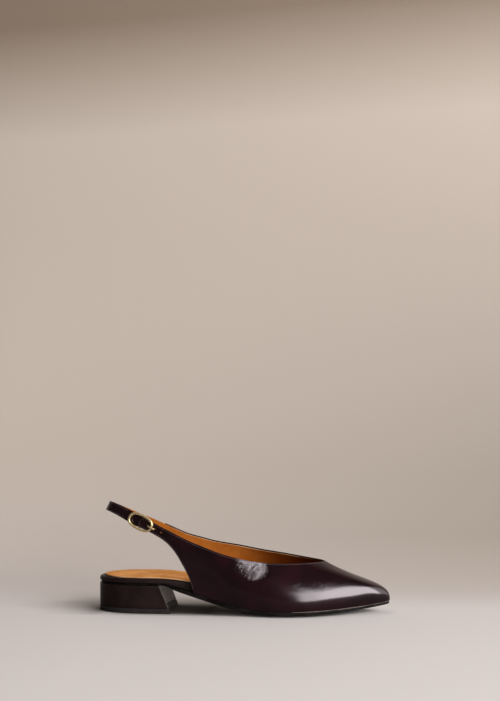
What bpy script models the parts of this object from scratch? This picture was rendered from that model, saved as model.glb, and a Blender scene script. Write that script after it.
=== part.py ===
"""Pointed slingback flat with a low block heel: a right shoe standing on its heel and forefoot.

The toe points along +X, the outer side of the foot faces -Y and the floor is z = 0.
Sizes are in millimetres and become metres when a mesh is made. A station is a distance from the
back of the heel, an offset is a distance to the inner side of the shoe's long axis and a height is
measured from the sole's rim at the ball, which lies above the floor by the sole's camber.
"""

import math
from collections import namedtuple

import bmesh
import bpy
import numpy as np
from mathutils import Matrix

MM = 0.001
GAP = 0.3  # clearance between pieces that touch in the real shoe

# Driving sizes of the last and the sole
LENGTH = 262.0
TOE_SWING = 2.8  # the toe's tip lies this far to the inner side
MIDDLE = -0.3  # offset halfway between the widest points of the two sides
SEAT_HEIGHT = 24.6  # top of the outsole at the heel
SEAT_END = 60.0  # station where the flat heel seat ends
SEAT_RUNOUT = 15.0  # the sole thickens over this length in front of the seat
BALL_START, BALL_END = 164.0, 180.0  # flat tread of the forefoot
OUTSOLE = 3.2
OUTSOLE_AT_SEAT = 1.3
OUTSOLE_AT_TOE = 2.3
CAMBER = 1.8  # the middle of the tread, and the floor, lie this far below the sole's rim at the ball
CAMBER_START, CAMBER_END = 130.0, 212.0  # the camber is lost at these stations
CAMBER_INSET, TREAD_EDGE = 15.0, 0.8  # distance from the rim to the tread with and without camber
SHANK_HASTE = 0.7  # under 1 the sole drops early, just in front of the heel
TOE_SPRING = 5.0
FOOTBED_HEIGHT = 29.0  # top of the footbed at the heel
FOOTBED_AT_BALL = 3.6  # its thickness under the ball
FOOTBED_FALL_START = 45.0
FOOTBED_HASTE = 1.35  # over 1 the footbed stays high into the arch
FOOTBED_ROUND = 2.2
OUTSOLE_ROUNDS, FOOTBED_ROUNDS, SOCK_ROUNDS = (0.6, 0.4), (1.0, FOOTBED_ROUND), (0.2, 0.5)  # low, high
FOOTBED_LEAN = 0.5  # share of the wall's flare that the footbed's side follows
FOOTBED_FIT = 6.0  # the footbed has narrowed to fit the upper this far behind the quarters
SOCK = 1.2
SOCK_RIM = 2.8  # strip of wrapped footbed left showing beside the sock at the open back
SOCK_BACK_RIM, SOCK_BACK = 4.8, 20.0  # the strip behind the heel, and the station where it is lost
SOCK_INSIDE_RIM = 0.8  # the same strip inside the upper
WALL = 1.8  # leather and lining of the upper
CORNER = 88.6  # station where the quarters reach the sole
SEAT_INSET = 1.6  # the sole steps in under the footbed, which leaves a groove above the heel
WELT = 0.4  # the sole's ledge beyond the upper
TOE_TUCK = 0.9  # the ledge is lost at the toe, where the sole tucks in
TUCK_START = 215.0

# Heel
TOP_LIFT = 4.6
BREAST_TOP, BREAST_FOOT = 57.8, 67.8  # stations of the breast's corners
BREAST_HOLLOW = 5.0
HEEL_TAPER = 1.2  # each side is drawn in by this much at the floor
HEEL_ROUND = 0.8

# Strap and buckle
STRAP = 1.6
STRAP_WIDTH, STRAP_AT_BUCKLE = 8.7, 10.0  # the strap widens from the heel's back to the buckle
STRAP_DROP = 1.1  # its lower edge drops this much more beside the buckle, to fill the frame
DROP_END = 5.0  # and rises again over this length, to pass between the bar's legs
STRAP_LEAN = math.radians(26.0)  # the strap's upper edge leans towards the toe
STRAP_TAIL = 9.0  # length of strap turned back behind the buckle's bar
TAB_END = 2.0  # the tab's tip lies this far behind the buckle's bar
TAB_TIP = 0.22  # share of the tab's width left at its round tip
HOLE_PITCH = 6.9
HOLE_COUNT = 3
HOLE_RADIUS = 0.9
HOLE_REACH = 6.9  # distance from the buckle's bar to the hole that the prong uses
BUCKLE_LENGTH, BUCKLE_WIDTH = 24.0, 14.4
BUCKLE_WIRE = 1.05
BUCKLE_SQUARENESS = 2.6  # exponent of the oval: 2 is an ellipse
BAR_RADIUS = 0.8
PRONG_RADIUS = 0.55
PRONG_BEND = 2.0  # size of the prong's bends before and after the hole
PRONG_REACH = 3.2  # the prong's tip lies this far beyond the middle of the frame's wire
LOOP_RADIUS = BAR_RADIUS + GAP + STRAP / 2  # middle of the strap where it turns round the bar
BAR_DEPTH = WALL + GAP + STRAP / 2 + LOOP_RADIUS  # the bar lies this far under the tab's outer face

# How finely the lofts are cut
RING = 42  # steps along each side of the sole
TOE_COLUMNS, QUARTER_COLUMNS, WALL_ROWS = 26, 14, 8
TOE_CROWD = 1.6  # crowds the columns towards the toe's tip
TIP_COLUMNS = (0.95, 0.975, 0.99, 1.0)  # shares of the outer quarter's length at the tab's round tip
STRAP_STEPS, EYE_STEPS, STRAP_ROWS = 48, 8, 4
OVAL_STEPS, PRONG_STEPS, BREAST_STEPS = 40, 22, 12
BRANCH_STEPS = 600
NUDGE = 0.004  # share of a side over which its direction is taken

Edge = namedtuple("Edge", "station outer inner")
SOLE_EDGE = (  # half widths of the sole
    Edge(3.5, 11.6, 11.6),
    Edge(14.0, 21.0, 20.8),
    Edge(30.0, 26.4, 26.2),
    Edge(50.0, 27.4, 27.0),
    Edge(75.0, 27.4, 24.8),
    Edge(100.0, 29.0, 22.8),
    Edge(125.0, 33.2, 25.8),
    Edge(150.0, 36.8, 32.6),
    Edge(170.0, 37.4, 36.8),
    Edge(188.0, 34.6, 36.4),
    Edge(206.0, 28.2, 32.2),
    Edge(224.0, 20.2, 25.0),
    Edge(242.0, 11.6, 16.8),
    Edge(256.0, 4.4, 9.6),
)

Wall = namedtuple("Wall", "station outer_flare inner_flare rise shoulder reach")
WALL_SECTIONS = (  # how the upper leaves the sole and arrives at the topline, in degrees and shares
    Wall(LENGTH, 7.0, 7.0, 0.245, 29.5, 0.604),
    Wall(252.0, 17.9, 17.0, 0.309, 29.3, 0.574),
    Wall(235.0, 24.8, 26.0, 0.299, 27.0, 0.507),
    Wall(210.0, 26.8, 28.0, 0.317, 37.3, 0.414),
    Wall(180.0, 25.0, 24.0, 0.285, 50.8, 0.339),
    Wall(150.0, 21.9, 20.0, 0.335, 62.6, 0.320),
    Wall(120.0, 13.8, 24.0, 0.309, 77.9, 0.322),
    Wall(CORNER, 4.0, 20.0, 0.340, 86.0, 0.330),
)
FAN = 1.25  # crowds the wall's columns towards the throat
FAN_SPREAD = 10.0  # how far the columns follow the sole's edge rather than the way to the throat

Point = namedtuple("Point", "station offset height")
TOPLINE = (  # from the outer quarter round the throat to the inner quarter
    Point(111.0, -31.0, 53.4),
    Point(126.0, -31.0, 49.2),
    Point(145.0, -29.5, 45.6),
    Point(163.0, -26.0, 43.9),
    Point(182.0, -18.6, 43.4),
    Point(195.0, -10.8, 43.3),
    Point(204.0, 0.8, 43.4),
    Point(195.0, 10.6, 44.3),
    Point(182.0, 18.2, 45.5),
    Point(163.0, 25.0, 47.8),
    Point(145.0, 28.6, 50.1),
    Point(122.0, 30.2, 54.0),
)

Quarter = namedtuple("Quarter", "edge_station edge_offset edge_height top_station top_offset top_height")
OUTER_QUARTER = (  # back edge and topline, from the sole's corner up to the tip of the tab
    Quarter(CORNER, -27.9, 18.2, 97.3, -30.4, 58.4),
    Quarter(85.7, -28.5, 28.6, 91.3, -30.0, 60.6),
    Quarter(80.4, -28.8, 39.4, 83.3, -29.3, 63.9),
    Quarter(73.1, -28.4, 51.6, 74.3, -28.4, 68.0),
    Quarter(64.0, -27.2, 61.4, 65.5, -27.2, 72.2),
    Quarter(51.7, -25.6, 68.9, 55.4, -25.6, 77.0),
    Quarter(37.04, -23.2, 75.15, 41.26, -23.2, 84.15),
)
INNER_QUARTER = (  # the same on the inner side, where the sling strap is sewn on
    Quarter(CORNER, 23.7, 18.2, 98.3, 29.7, 58.0),
    Quarter(86.9, 25.8, 29.0, 92.3, 29.4, 59.6),
    Quarter(81.5, 27.4, 40.0, 84.3, 28.9, 61.7),
    Quarter(74.1, 27.8, 50.0, 75.3, 28.2, 64.4),
    Quarter(64.8, 27.0, 59.2, 66.3, 27.1, 68.4),
    Quarter(51.5, 25.2, 64.5, 55.7, 25.2, 73.3),
)

SLING = (  # middle of the strap, from the inner quarter round the heel to the buckle's left end
    Point(65.9, 24.1, 62.6),
    Point(53.7, 22.4, 68.8),
    Point(41.3, 20.8, 74.4),
    Point(28.3, 17.6, 80.0),
    Point(15.3, 11.2, 86.4),
    Point(7.3, 0.0, 91.2),
    Point(13.9, -10.8, 90.4),
    Point(25.3, -17.4, 86.2),
)


# Curves through tables
def column(table, *names):
    return np.array([[getattr(row, name) for name in names] for row in table], float)


def natural_spline(knots, values):
    """A curve of even curvature through rows of values, as a function of the knots."""
    knots, values = np.asarray(knots, float), np.asarray(values, float)
    step, last = np.diff(knots), len(knots) - 1
    slope = np.diff(values, axis=0) / step[:, None]
    system, right = np.eye(last + 1), np.zeros_like(values)
    for i in range(1, last):
        system[i, i - 1 : i + 2] = step[i - 1], 2 * (step[i - 1] + step[i]), step[i]
        right[i] = 6 * (slope[i] - slope[i - 1])
    bend = np.linalg.solve(system, right)

    def at(where):
        where = np.clip(np.atleast_1d(np.asarray(where, float)), knots[0], knots[-1])
        i = np.clip(np.searchsorted(knots, where, side="right") - 1, 0, last - 1)
        after = ((where - knots[i]) / step[i])[:, None]
        before = 1 - after
        sag = (before**3 - before) * bend[i] + (after**3 - after) * bend[i + 1]
        return before * values[i] + after * values[i + 1] + sag * step[i][:, None] ** 2 / 6

    return at


def arc_lengths(points):
    return np.concatenate([[0], np.cumsum(np.linalg.norm(np.diff(points, axis=0), axis=1))])


def spaced(points, fractions):
    """Points at fractions of the length of a finely sampled line."""
    run = arc_lengths(points)
    where = np.asarray(fractions) * run[-1]
    return np.stack([np.interp(where, run, axis) for axis in points.T], axis=1)


def ease(share):
    share = np.clip(share, 0.0, 1.0)
    return share * share * (3 - 2 * share)


# Side view of the sole
def outsole_top(station):
    """Height of the sole's upper face, which is also the lower edge of the upper."""
    share = np.clip((station - SEAT_END) / (BALL_START - SEAT_END), 0, 1) ** SHANK_HASTE
    spring = np.clip((station - BALL_END) / (LENGTH - BALL_END), 0, 1) ** 2
    return SEAT_HEIGHT + (OUTSOLE - SEAT_HEIGHT) * ease(share) + TOE_SPRING * spring


def outsole_bottom(station):
    seat = (OUTSOLE - OUTSOLE_AT_SEAT) * (1 - ease((station - SEAT_END) / SEAT_RUNOUT))
    toe = (OUTSOLE - OUTSOLE_AT_TOE) * ease((station - TUCK_START) / (LENGTH - TUCK_START))
    return outsole_top(station) - OUTSOLE + seat + toe


def camber(station):
    """Share of the camber, which is full under the ball."""
    rising = ease((station - CAMBER_START) / (BALL_START - CAMBER_START))
    return rising * (1 - ease((station - BALL_END) / (CAMBER_END - BALL_END)))


def tread_bottom(station):
    return outsole_bottom(station) - CAMBER * camber(station)


def footbed_top(station):
    """The footbed falls later than the sole, so it is thickest in the arch."""
    share = np.clip((station - FOOTBED_FALL_START) / (BALL_START - FOOTBED_FALL_START), 0, 1)
    spring = np.clip((station - BALL_END) / (LENGTH - BALL_END), 0, 1) ** 2
    ball = OUTSOLE + FOOTBED_AT_BALL
    return FOOTBED_HEIGHT + (ball - FOOTBED_HEIGHT) * ease(share**FOOTBED_HASTE) + TOE_SPRING * spring


# Outline of the sole
def sole_branch(side):
    """A fine line of (station, offset) along one side, from the heel's back to the toe."""
    half = column(SOLE_EDGE, "station", "outer")
    other = column(SOLE_EDGE, "station", "inner")
    half[:, 1] *= -1
    back, toe = [[0.0, 0.0]], [[LENGTH, TOE_SWING]]
    loop = np.concatenate([back, half, toe, other[::-1]])
    wrapped = np.concatenate([loop[-3:], loop, loop[:4]])
    knots = arc_lengths(wrapped)
    first, middle = 3, 3 + len(half) + 1
    ends = (first, middle) if side < 0 else (first + len(loop), middle)
    return natural_spline(knots, wrapped)(np.linspace(knots[ends[0]], knots[ends[1]], BRANCH_STEPS))


def ring_stations():
    """Stations along the sole, closer together at its ends, with the ends of its flats among them."""
    stations = LENGTH * (1 - np.cos(np.pi * np.arange(RING + 1) / RING)) / 2
    for bend in (SEAT_END, BALL_START, BALL_END):
        stations[np.argmin(np.abs(stations - bend))] = bend
    return stations


def side_line(side, stations):
    """Points (station, offset) of one side of the sole."""
    branch = sole_branch(side)
    return np.column_stack([stations, np.interp(stations, branch[:, 0], branch[:, 1])])


def plan_normals(along):
    """Unit normals to the right of a line seen from above."""
    along = np.asarray(along)
    normal = np.column_stack([along[:, 1], -along[:, 0]])
    return normal / np.linalg.norm(normal, axis=1)[:, None]


def sole_ring(margin):
    """Points round the sole: heel's back, outer side, toe, inner side. margin(station, side) widens it."""
    stations = ring_stations()
    ring = np.concatenate([side_line(-1, stations), side_line(1, stations)[-2:0:-1]])
    normal = plan_normals(np.roll(ring, -1, axis=0) - np.roll(ring, 1, axis=0))
    sides = np.where(np.arange(2 * RING) <= RING, -1, 1)
    return ring + normal * np.vectorize(margin, otypes=[float])(ring[:, 0], sides)[:, None]


# Widths of the layers against the outline of the sole
def sole_margin(station, side):
    """The sole steps in under the heel seat, stands proud of the upper and tucks in at the toe."""
    ledge = (SEAT_INSET + WELT) * ease((station - SEAT_END) / (CORNER - SEAT_END))
    return ledge - SEAT_INSET - TOE_TUCK * ease((station - TUCK_START) / (LENGTH - TUCK_START))


def tread_margin(station, side):
    return sole_margin(station, side) - TREAD_EDGE - CAMBER_INSET * camber(station)


def footbed_margin(station, side):
    """The footbed is flush at the open back and fits inside the wall in front of the quarters."""
    return -(WALL + 1.5 * GAP) * ease((station - SEAT_END) / (CORNER - FOOTBED_FIT - SEAT_END))


def footbed_rim(station, side):
    """The footbed's upper edge, which widens with the leaning wall."""
    flare = column(WALL_SECTIONS, "outer_flare" if side < 0 else "inner_flare")[::-1, 0]
    lean = math.tan(math.radians(np.interp(station, column(WALL_SECTIONS, "station")[::-1, 0], flare)))
    side_height = footbed_top(station) - outsole_top(station) - FOOTBED_ROUND
    inside = ease((station - SEAT_END) / (CORNER - SEAT_END))
    return footbed_margin(station, side) + FOOTBED_LEAN * side_height * lean * inside


def sock_margin(station, side):
    """The sock leaves a rim of footbed, widest behind the heel and least inside the upper."""
    back = (SOCK_BACK_RIM - SOCK_RIM) * (1 - ease(station / SOCK_BACK))
    inside = (SOCK_RIM - SOCK_INSIDE_RIM) * ease((station - SEAT_END) / (CORNER - SEAT_END))
    return footbed_rim(station, side) - SOCK_RIM - back + inside


# Meshes and objects
def to_frame(points):
    """Stations and offsets in millimetres to metres, with the origin under the middle of the shoe."""
    return (np.asarray(points, float) - [LENGTH / 2, MIDDLE, -CAMBER]) * MM


def add_object(name, data, collection):
    piece = bpy.data.objects.new(name, data)
    collection.objects.link(piece)
    return piece


def mesh_from(name, points, faces):
    mesh = bpy.data.meshes.new(name)
    mesh.from_pydata([tuple(p) for p in to_frame(points)], [], faces)
    return closed_outward(mesh)


def closed_outward(mesh, weld=1e-6):
    """Joins coinciding points and turns all faces outward."""
    shape = bmesh.new()
    shape.from_mesh(mesh)
    bmesh.ops.remove_doubles(shape, verts=shape.verts, dist=weld)
    bmesh.ops.recalc_face_normals(shape, faces=shape.faces)
    shape.to_mesh(mesh)
    shape.free()
    return mesh


def shade(piece, degrees=35):
    piece.data.shade_smooth()
    piece.data.set_sharp_from_angle(angle=math.radians(degrees))


def strip_faces(rows, columns, closed=False):
    """Quads of a grid whose points are stored row after row."""
    faces = []
    for r in range(rows - 1):
        for c in range(columns if closed else columns - 1):
            d = (c + 1) % columns
            faces.append((r * columns + c, r * columns + d, (r + 1) * columns + d, (r + 1) * columns + c))
    return faces


def rim_arc(radius, steps=3):
    """Insets and drops of a rounded rim, from its side round to its face."""
    turns = np.linspace(0, math.pi / 2, steps + 1)
    return [(radius * (1 - math.cos(a)), radius * (1 - math.sin(a))) for a in turns]


def plate(name, bottom, top, low_margin, high_margin, bottom_round, top_round, collection, tread=()):
    """A layer of the sole between two height functions, with rounded rims and perhaps a tread below."""
    layers = list(tread)
    layers += [(inset, drop, bottom, low_margin, 1) for inset, drop in reversed(rim_arc(bottom_round, 2))]
    layers += [(inset, drop, top, high_margin, -1) for inset, drop in rim_arc(top_round)]
    count, points = 2 * RING, []
    for inset, drop, height, margin, sign in layers:
        ring = sole_ring(lambda s, side, inset=inset, margin=margin: margin(s, side) - inset)
        points += [(x, y, height(x) + sign * drop) for x, y in ring]
    faces = strip_faces(len(layers), count, closed=True)
    for base in (0, (len(layers) - 1) * count):
        for i in range(RING):
            quad = (i, i + 1, (count - i - 1) % count, (count - i) % count)
            faces.append([base + k for k in dict.fromkeys(quad)])
    piece = add_object(name, mesh_from(name, points, faces), collection)
    shade(piece)
    return piece


def make_layers(collection):
    """Outsole, footbed and sock, from the floor up."""
    tread = [(OUTSOLE_ROUNDS[0], 0.0, tread_bottom, tread_margin, 1)]
    margins = sole_margin, sole_margin
    plate("outsole", outsole_bottom, outsole_top, *margins, *OUTSOLE_ROUNDS, collection, tread)
    margins = footbed_margin, footbed_rim
    plate("footbed", over(outsole_top), footbed_top, *margins, *FOOTBED_ROUNDS, collection)
    sock_bottom, sock_top = over(footbed_top), over(footbed_top, SOCK)
    plate("sock_lining", sock_bottom, sock_top, sock_margin, sock_margin, *SOCK_ROUNDS, collection)


def over(height, thickness=0.0):
    """The height function of a layer that lies on another."""
    return lambda station: height(station) + GAP + thickness


def solid_from_curve(curve_object, collection):
    """A curve made a closed mesh object of the same name."""
    graph = bpy.context.evaluated_depsgraph_get()
    mesh = bpy.data.meshes.new_from_object(curve_object.evaluated_get(graph))
    name, place = curve_object.name, curve_object.matrix_world.copy()
    bpy.data.objects.remove(curve_object)
    closed_outward(mesh)
    piece = add_object(name, mesh, collection)
    piece.matrix_world = place
    shade(piece, 60)
    return piece


def wire(name, points, radius, collection, closed=False):
    """A round wire along points given in millimetres."""
    curve = bpy.data.curves.new(name, "CURVE")
    curve.dimensions = "3D"
    curve.bevel_depth = radius * MM
    curve.bevel_resolution = 2
    curve.use_fill_caps = True
    spline = curve.splines.new("POLY")
    spline.points.add(len(points) - 1)
    for knot, place in zip(spline.points, to_frame(points)):
        knot.co = (*place, 1.0)
    spline.use_cyclic_u = closed
    return solid_from_curve(add_object(name, curve, collection), collection)


def combine(piece, other, operation):
    cut = piece.modifiers.new(other.name, "BOOLEAN")
    cut.operation = operation
    cut.object = other
    cut.solver = "EXACT"
    other.hide_render = True
    other.display_type = "WIRE"


# Upper
def bezier(p0, p1, p2, p3, steps):
    t = np.linspace(0, 1, steps + 1)[:, None]
    return (1 - t) ** 3 * p0 + 3 * t * (1 - t) ** 2 * p1 + 3 * t * t * (1 - t) * p2 + t**3 * p3


def topline_curve():
    """Topline spline, the knots of each quarter's rows and the knot of the throat."""
    outer = column(OUTER_QUARTER, "top_station", "top_offset", "top_height")[::-1]
    inner = column(INNER_QUARTER, "top_station", "top_offset", "top_height")
    front = column(TOPLINE, "station", "offset", "height")
    points = np.concatenate([outer, front, inner])
    knots = arc_lengths(points)
    throat = knots[int(np.argmax(points[:, 0]))]
    return natural_spline(knots, points), knots[: len(outer)][::-1], knots[-len(inner) :], throat


def front_columns(side, topline, throat, corner_knot):
    """Columns of the wall on one side, from the toe to the quarter's corner on the sole."""
    branch = sole_branch(side)[::-1]
    branch = branch[branch[:, 0] >= CORNER]
    run = arc_lengths(branch)
    flare_name = "outer_flare" if side < 0 else "inner_flare"
    section_run = np.interp(column(WALL_SECTIONS, "station")[::-1, 0], branch[::-1, 0], run[::-1])[::-1]
    sections = column(WALL_SECTIONS, flare_name, "rise", "shoulder", "reach")
    section_at = natural_spline(section_run, sections)
    columns = []
    for share in np.linspace(0, 1, TOE_COLUMNS + 1) ** TOE_CROWD:
        station, offset = spaced(branch, [share])[0]
        ahead, behind = spaced(branch, [max(share - NUDGE, 0), min(share + NUDGE, 1)])
        normal = np.append(plan_normals([side * (behind - ahead)])[0], 0.0)
        if share == 0:
            normal = np.array([1.0, 0.0, 0.0])
        bottom = np.array([station, offset, outsole_top(station) + GAP])
        top = topline(throat + (corner_knot - throat) * share**FAN)[0]
        flare, rise, shoulder, reach = section_at(share * run[-1])[0]
        columns.append(wall_column(bottom, top, normal, flare, rise, shoulder, reach, 1.0))
    return columns


def wall_column(bottom, top, outward, flare, rise, shoulder, reach, fullness):
    """One column from the sole to the topline. Fullness 0 makes it straight."""
    up = np.array([0.0, 0.0, 1.0])
    chord = np.linalg.norm(top - bottom)
    flare, shoulder = math.radians(flare), math.radians(shoulder)
    fan = (bottom - top) * [1, 1, 0] + FAN_SPREAD * outward
    fan /= np.linalg.norm(fan)
    low = bottom + rise * chord * (outward * math.sin(flare) + up * math.cos(flare))
    high = top + reach * chord * (fan * math.cos(shoulder) - up * math.sin(shoulder))
    straight_low, straight_high = bottom + (top - bottom) / 3, top - (top - bottom) / 3
    low = straight_low + fullness * (low - straight_low)
    high = straight_high + fullness * (high - straight_high)
    return bezier(bottom, low, high, top, WALL_ROWS)


def quarter_columns(side, rows, topline, top_knots):
    """Columns behind the corner, from the back edge to the topline, up to the end of the band."""
    edge = column(rows, "edge_station", "edge_offset", "edge_height")
    edge_knots = arc_lengths(edge)
    edge_at = natural_spline(edge_knots, edge)
    order = np.arange(len(rows))
    last = WALL_SECTIONS[-1]
    flare = last.outer_flare if side < 0 else last.inner_flare
    columns = []
    shares = np.linspace(0, 1, QUARTER_COLUMNS + 1)[1:]
    if side < 0:
        shares = np.append(shares[:-1], TIP_COLUMNS)
    for share in shares:
        row = share * order[-1]
        bottom = edge_at(np.interp(row, order, edge_knots))[0]
        top = topline(np.interp(row, order, top_knots))[0]
        fullness = (1 - share) ** 2
        outward = np.array([0.0, float(side), 0.0])
        line = wall_column(bottom, top, outward, flare, last.rise, last.shoulder, last.reach, fullness)
        columns.append(line)
    return rounded_end(columns) if side < 0 else columns


def rounded_end(columns):
    """Narrows the last columns of the tab to a round tip."""
    tip = columns[-1].mean(axis=0)
    radius = np.linalg.norm(columns[-1][-1] - columns[-1][0]) / 2
    rounded = []
    for line in columns:
        middle = line.mean(axis=0)
        reach = min(np.linalg.norm(middle - tip) / radius, 1.0)
        rounded.append(middle + (line - middle) * max(math.sqrt(1 - (1 - reach) ** 2), TAB_TIP))
    return rounded


def make_upper(collection):
    topline, outer_knots, inner_knots, throat = topline_curve()
    outer = front_columns(-1, topline, throat, outer_knots[0])
    inner = front_columns(1, topline, throat, inner_knots[0])
    outer += quarter_columns(-1, OUTER_QUARTER, topline, outer_knots)
    inner += quarter_columns(1, INNER_QUARTER, topline, inner_knots)
    columns = outer[::-1] + inner[1:]
    mesh = bpy.data.meshes.new("upper")
    faces = strip_faces(len(columns), WALL_ROWS + 1)
    mesh.from_pydata([tuple(p) for p in to_frame(np.concatenate(columns))], [], [f[::-1] for f in faces])
    piece = add_object("upper", mesh, collection)
    wall = piece.modifiers.new("wall", "SOLIDIFY")
    wall.thickness = WALL * MM
    wall.offset = -1.0
    wall.use_even_offset = True
    shade(piece)
    return piece


# Heel
def heel_ring(taper, inset, breast):
    """Plan of the heel at one level: round the back, then the hollow breast. The taper is sideways."""
    half = RING // 2
    stations = breast * (1 - np.cos(np.pi / 2 * np.arange(half + 1) / half))
    outline = np.concatenate([side_line(1, stations)[::-1], side_line(-1, stations)[1:]])
    normal = plan_normals(np.gradient(outline, axis=0))
    outline = outline - normal * (inset + taper * np.abs(normal[:, 1:]))
    share = np.linspace(0, 1, BREAST_STEPS + 1)[1:-1, None]
    hollow = np.array([[-BREAST_HOLLOW, 0.0]]) * 4 * share * (1 - share)
    return np.concatenate([outline, outline[-1] + (outline[0] - outline[-1]) * share + hollow])


def heel_layer(name, levels, collection):
    """A block whose plan is lofted through (height, inset) levels."""
    rings = []
    for height, inset in levels:
        share = height / SEAT_HEIGHT
        breast = BREAST_FOOT + (BREAST_TOP - BREAST_FOOT) * share - inset
        ring = heel_ring(HEEL_TAPER * (1 - share), inset, breast)
        rings.append(np.column_stack([ring, np.full(len(ring), height)]))
    count = len(rings[0])
    faces = strip_faces(len(rings), count, closed=True)
    faces.append(tuple(range(count)))
    faces.append(tuple(range((len(rings) - 1) * count, len(rings) * count)))
    piece = add_object(name, mesh_from(name, np.concatenate(rings), faces), collection)
    shade(piece)
    return piece


def make_heel(collection):
    floor = -CAMBER
    foot, top = floor + TOP_LIFT + GAP, SEAT_HEIGHT - OUTSOLE_AT_SEAT - GAP
    small = HEEL_ROUND / 2
    block = [(foot, small), (foot + small, 0.0), (top - HEEL_ROUND, 0.0), (top, HEEL_ROUND)]
    heel_layer("heel_block", block, collection)
    lift = [(floor, HEEL_ROUND), (floor + HEEL_ROUND, 0.0), (floor + TOP_LIFT, 0.0)]
    heel_layer("top_lift", lift, collection)


# Strap and buckle
def unit(vector):
    return vector / np.linalg.norm(vector)


def buckle_axes():
    """Middle of the buckle on the tab's outer face, with directions along, across and out of the tab."""
    edge = column(OUTER_QUARTER, "edge_station", "edge_offset", "edge_height")
    top = column(OUTER_QUARTER, "top_station", "top_offset", "top_height")
    middle = (edge + top) / 2
    along = unit(middle[-2] - middle[-1])
    across = unit(top[-1] - edge[-1])
    across = unit(across - along * (across @ along))
    outward = np.cross(across, along)
    return middle[-1] + along * TAB_END, along, across, outward * -np.sign(outward[1])


def from_buckle(rows):
    """Points given as (along, across, out) from the middle of the buckle."""
    middle, along, across, outward = buckle_axes()
    rows = np.asarray(rows, float)
    return middle + rows[:, :1] * along + rows[:, 1:2] * across + rows[:, 2:] * outward


def strap_middle():
    """Line of the strap's middle: round the heel, then the eye round the buckle's bar and the tail."""
    turn = np.linspace(math.pi / 2, -math.pi / 2, EYE_STEPS + 1)
    eye = [(LOOP_RADIUS * math.cos(a), 0.0, LOOP_RADIUS * math.sin(a) - BAR_DEPTH) for a in turn]
    level = LOOP_RADIUS - BAR_DEPTH
    lead = [(-2 * STRAP_TAIL / 3, 0.0, level)]
    under = level - STRAP - 2 * GAP
    tail = [(-STRAP_TAIL / 2, 0.0, (under - BAR_DEPTH - LOOP_RADIUS) / 2), (-STRAP_TAIL, 0.0, under)]
    run = np.concatenate([column(SLING, "station", "offset", "height"), from_buckle(lead + eye[:1])])
    knots = arc_lengths(run)
    line = natural_spline(knots, run)(np.linspace(0, knots[-1], STRAP_STEPS + 1))
    return np.concatenate([line, from_buckle(eye[1:] + tail)])


def make_strap(collection, cutters):
    middle = strap_middle()
    along = np.gradient(middle, axis=0)
    lean = np.array([math.sin(STRAP_LEAN), 0.0, math.cos(STRAP_LEAN)])
    across = lean - along * (along @ lean / (along**2).sum(axis=1))[:, None]
    across /= np.linalg.norm(across, axis=1)[:, None]
    _, _, buckle_across, _ = buckle_axes()
    turned = ease(4 * np.arange(len(middle)) / STRAP_STEPS - 3)[:, None]
    across = across * (1 - turned) + buckle_across * turned
    run = arc_lengths(middle)
    back = run[int(np.argmin(middle[:, 0]))]
    widening = np.clip((run - back) / (run[STRAP_STEPS] - back), 0, 1)[:, None]
    width = STRAP_WIDTH + (STRAP_AT_BUCKLE - STRAP_WIDTH) * widening
    shares = np.linspace(-0.5, 0.5, STRAP_ROWS + 1)
    narrowed = ease((run - run[STRAP_STEPS] + DROP_END) / DROP_END)[:, None]
    drop = 2 * STRAP_DROP * widening**3 * (1 - narrowed)
    points = [middle + across * (width * share + drop * min(share, 0.0)) for share in shares]
    points = np.concatenate(points)
    mesh = bpy.data.meshes.new("sling_strap")
    mesh.from_pydata([tuple(p) for p in to_frame(points)], [], strip_faces(len(shares), len(middle)))
    piece = add_object("sling_strap", mesh, collection)
    wall = piece.modifiers.new("thickness", "SOLIDIFY")
    wall.thickness = STRAP * MM
    wall.offset = 0.0
    wall.use_even_offset = True
    shade(piece)
    eye_reach = LOOP_RADIUS + STRAP
    slot_size = (eye_reach + BAR_RADIUS, 2 * (PRONG_RADIUS + 1.5 * GAP), 2 * eye_reach)
    slot = box_cutter("prong_slot", ((eye_reach - BAR_RADIUS) / 2, 0.0, -BAR_DEPTH), slot_size, cutters)
    combine(piece, slot, "DIFFERENCE")


def place_by_buckle(cutter, centre):
    """Turns a cutter to the buckle's axes: X along, Y across, Z out of the tab."""
    _, along, across, outward = buckle_axes()
    right_handed = np.sign(np.cross(along, across) @ outward)
    turn = np.column_stack([along, across * right_handed, outward])
    place = to_frame(from_buckle([centre]))[0]
    cutter.matrix_world = Matrix([[*turn[i], place[i]] for i in range(3)] + [[0, 0, 0, 1]])


def box_cutter(name, centre, size, cutters):
    mesh = bpy.data.meshes.new(name)
    shape = bmesh.new()
    bmesh.ops.create_cube(shape, size=1.0)
    bmesh.ops.scale(shape, vec=[MM * side for side in size], verts=shape.verts)
    shape.to_mesh(mesh)
    shape.free()
    cutter = add_object(name, mesh, cutters)
    place_by_buckle(cutter, centre)
    return cutter


def hole_cutter(name, along, cutters):
    mesh = bpy.data.meshes.new(name)
    shape = bmesh.new()
    radius = HOLE_RADIUS * MM
    bmesh.ops.create_cone(
        shape, cap_ends=True, segments=14, radius1=radius, radius2=radius, depth=4 * WALL * MM
    )
    shape.to_mesh(mesh)
    shape.free()
    cutter = add_object(name, mesh, cutters)
    place_by_buckle(cutter, (along, 0.0, -WALL / 2))
    return cutter


def make_holes(upper, cutters):
    for k in range(HOLE_COUNT):
        hole = hole_cutter(f"tab_hole_{k + 1}", HOLE_REACH + k * HOLE_PITCH, cutters)
        combine(upper, hole, "DIFFERENCE")


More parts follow.
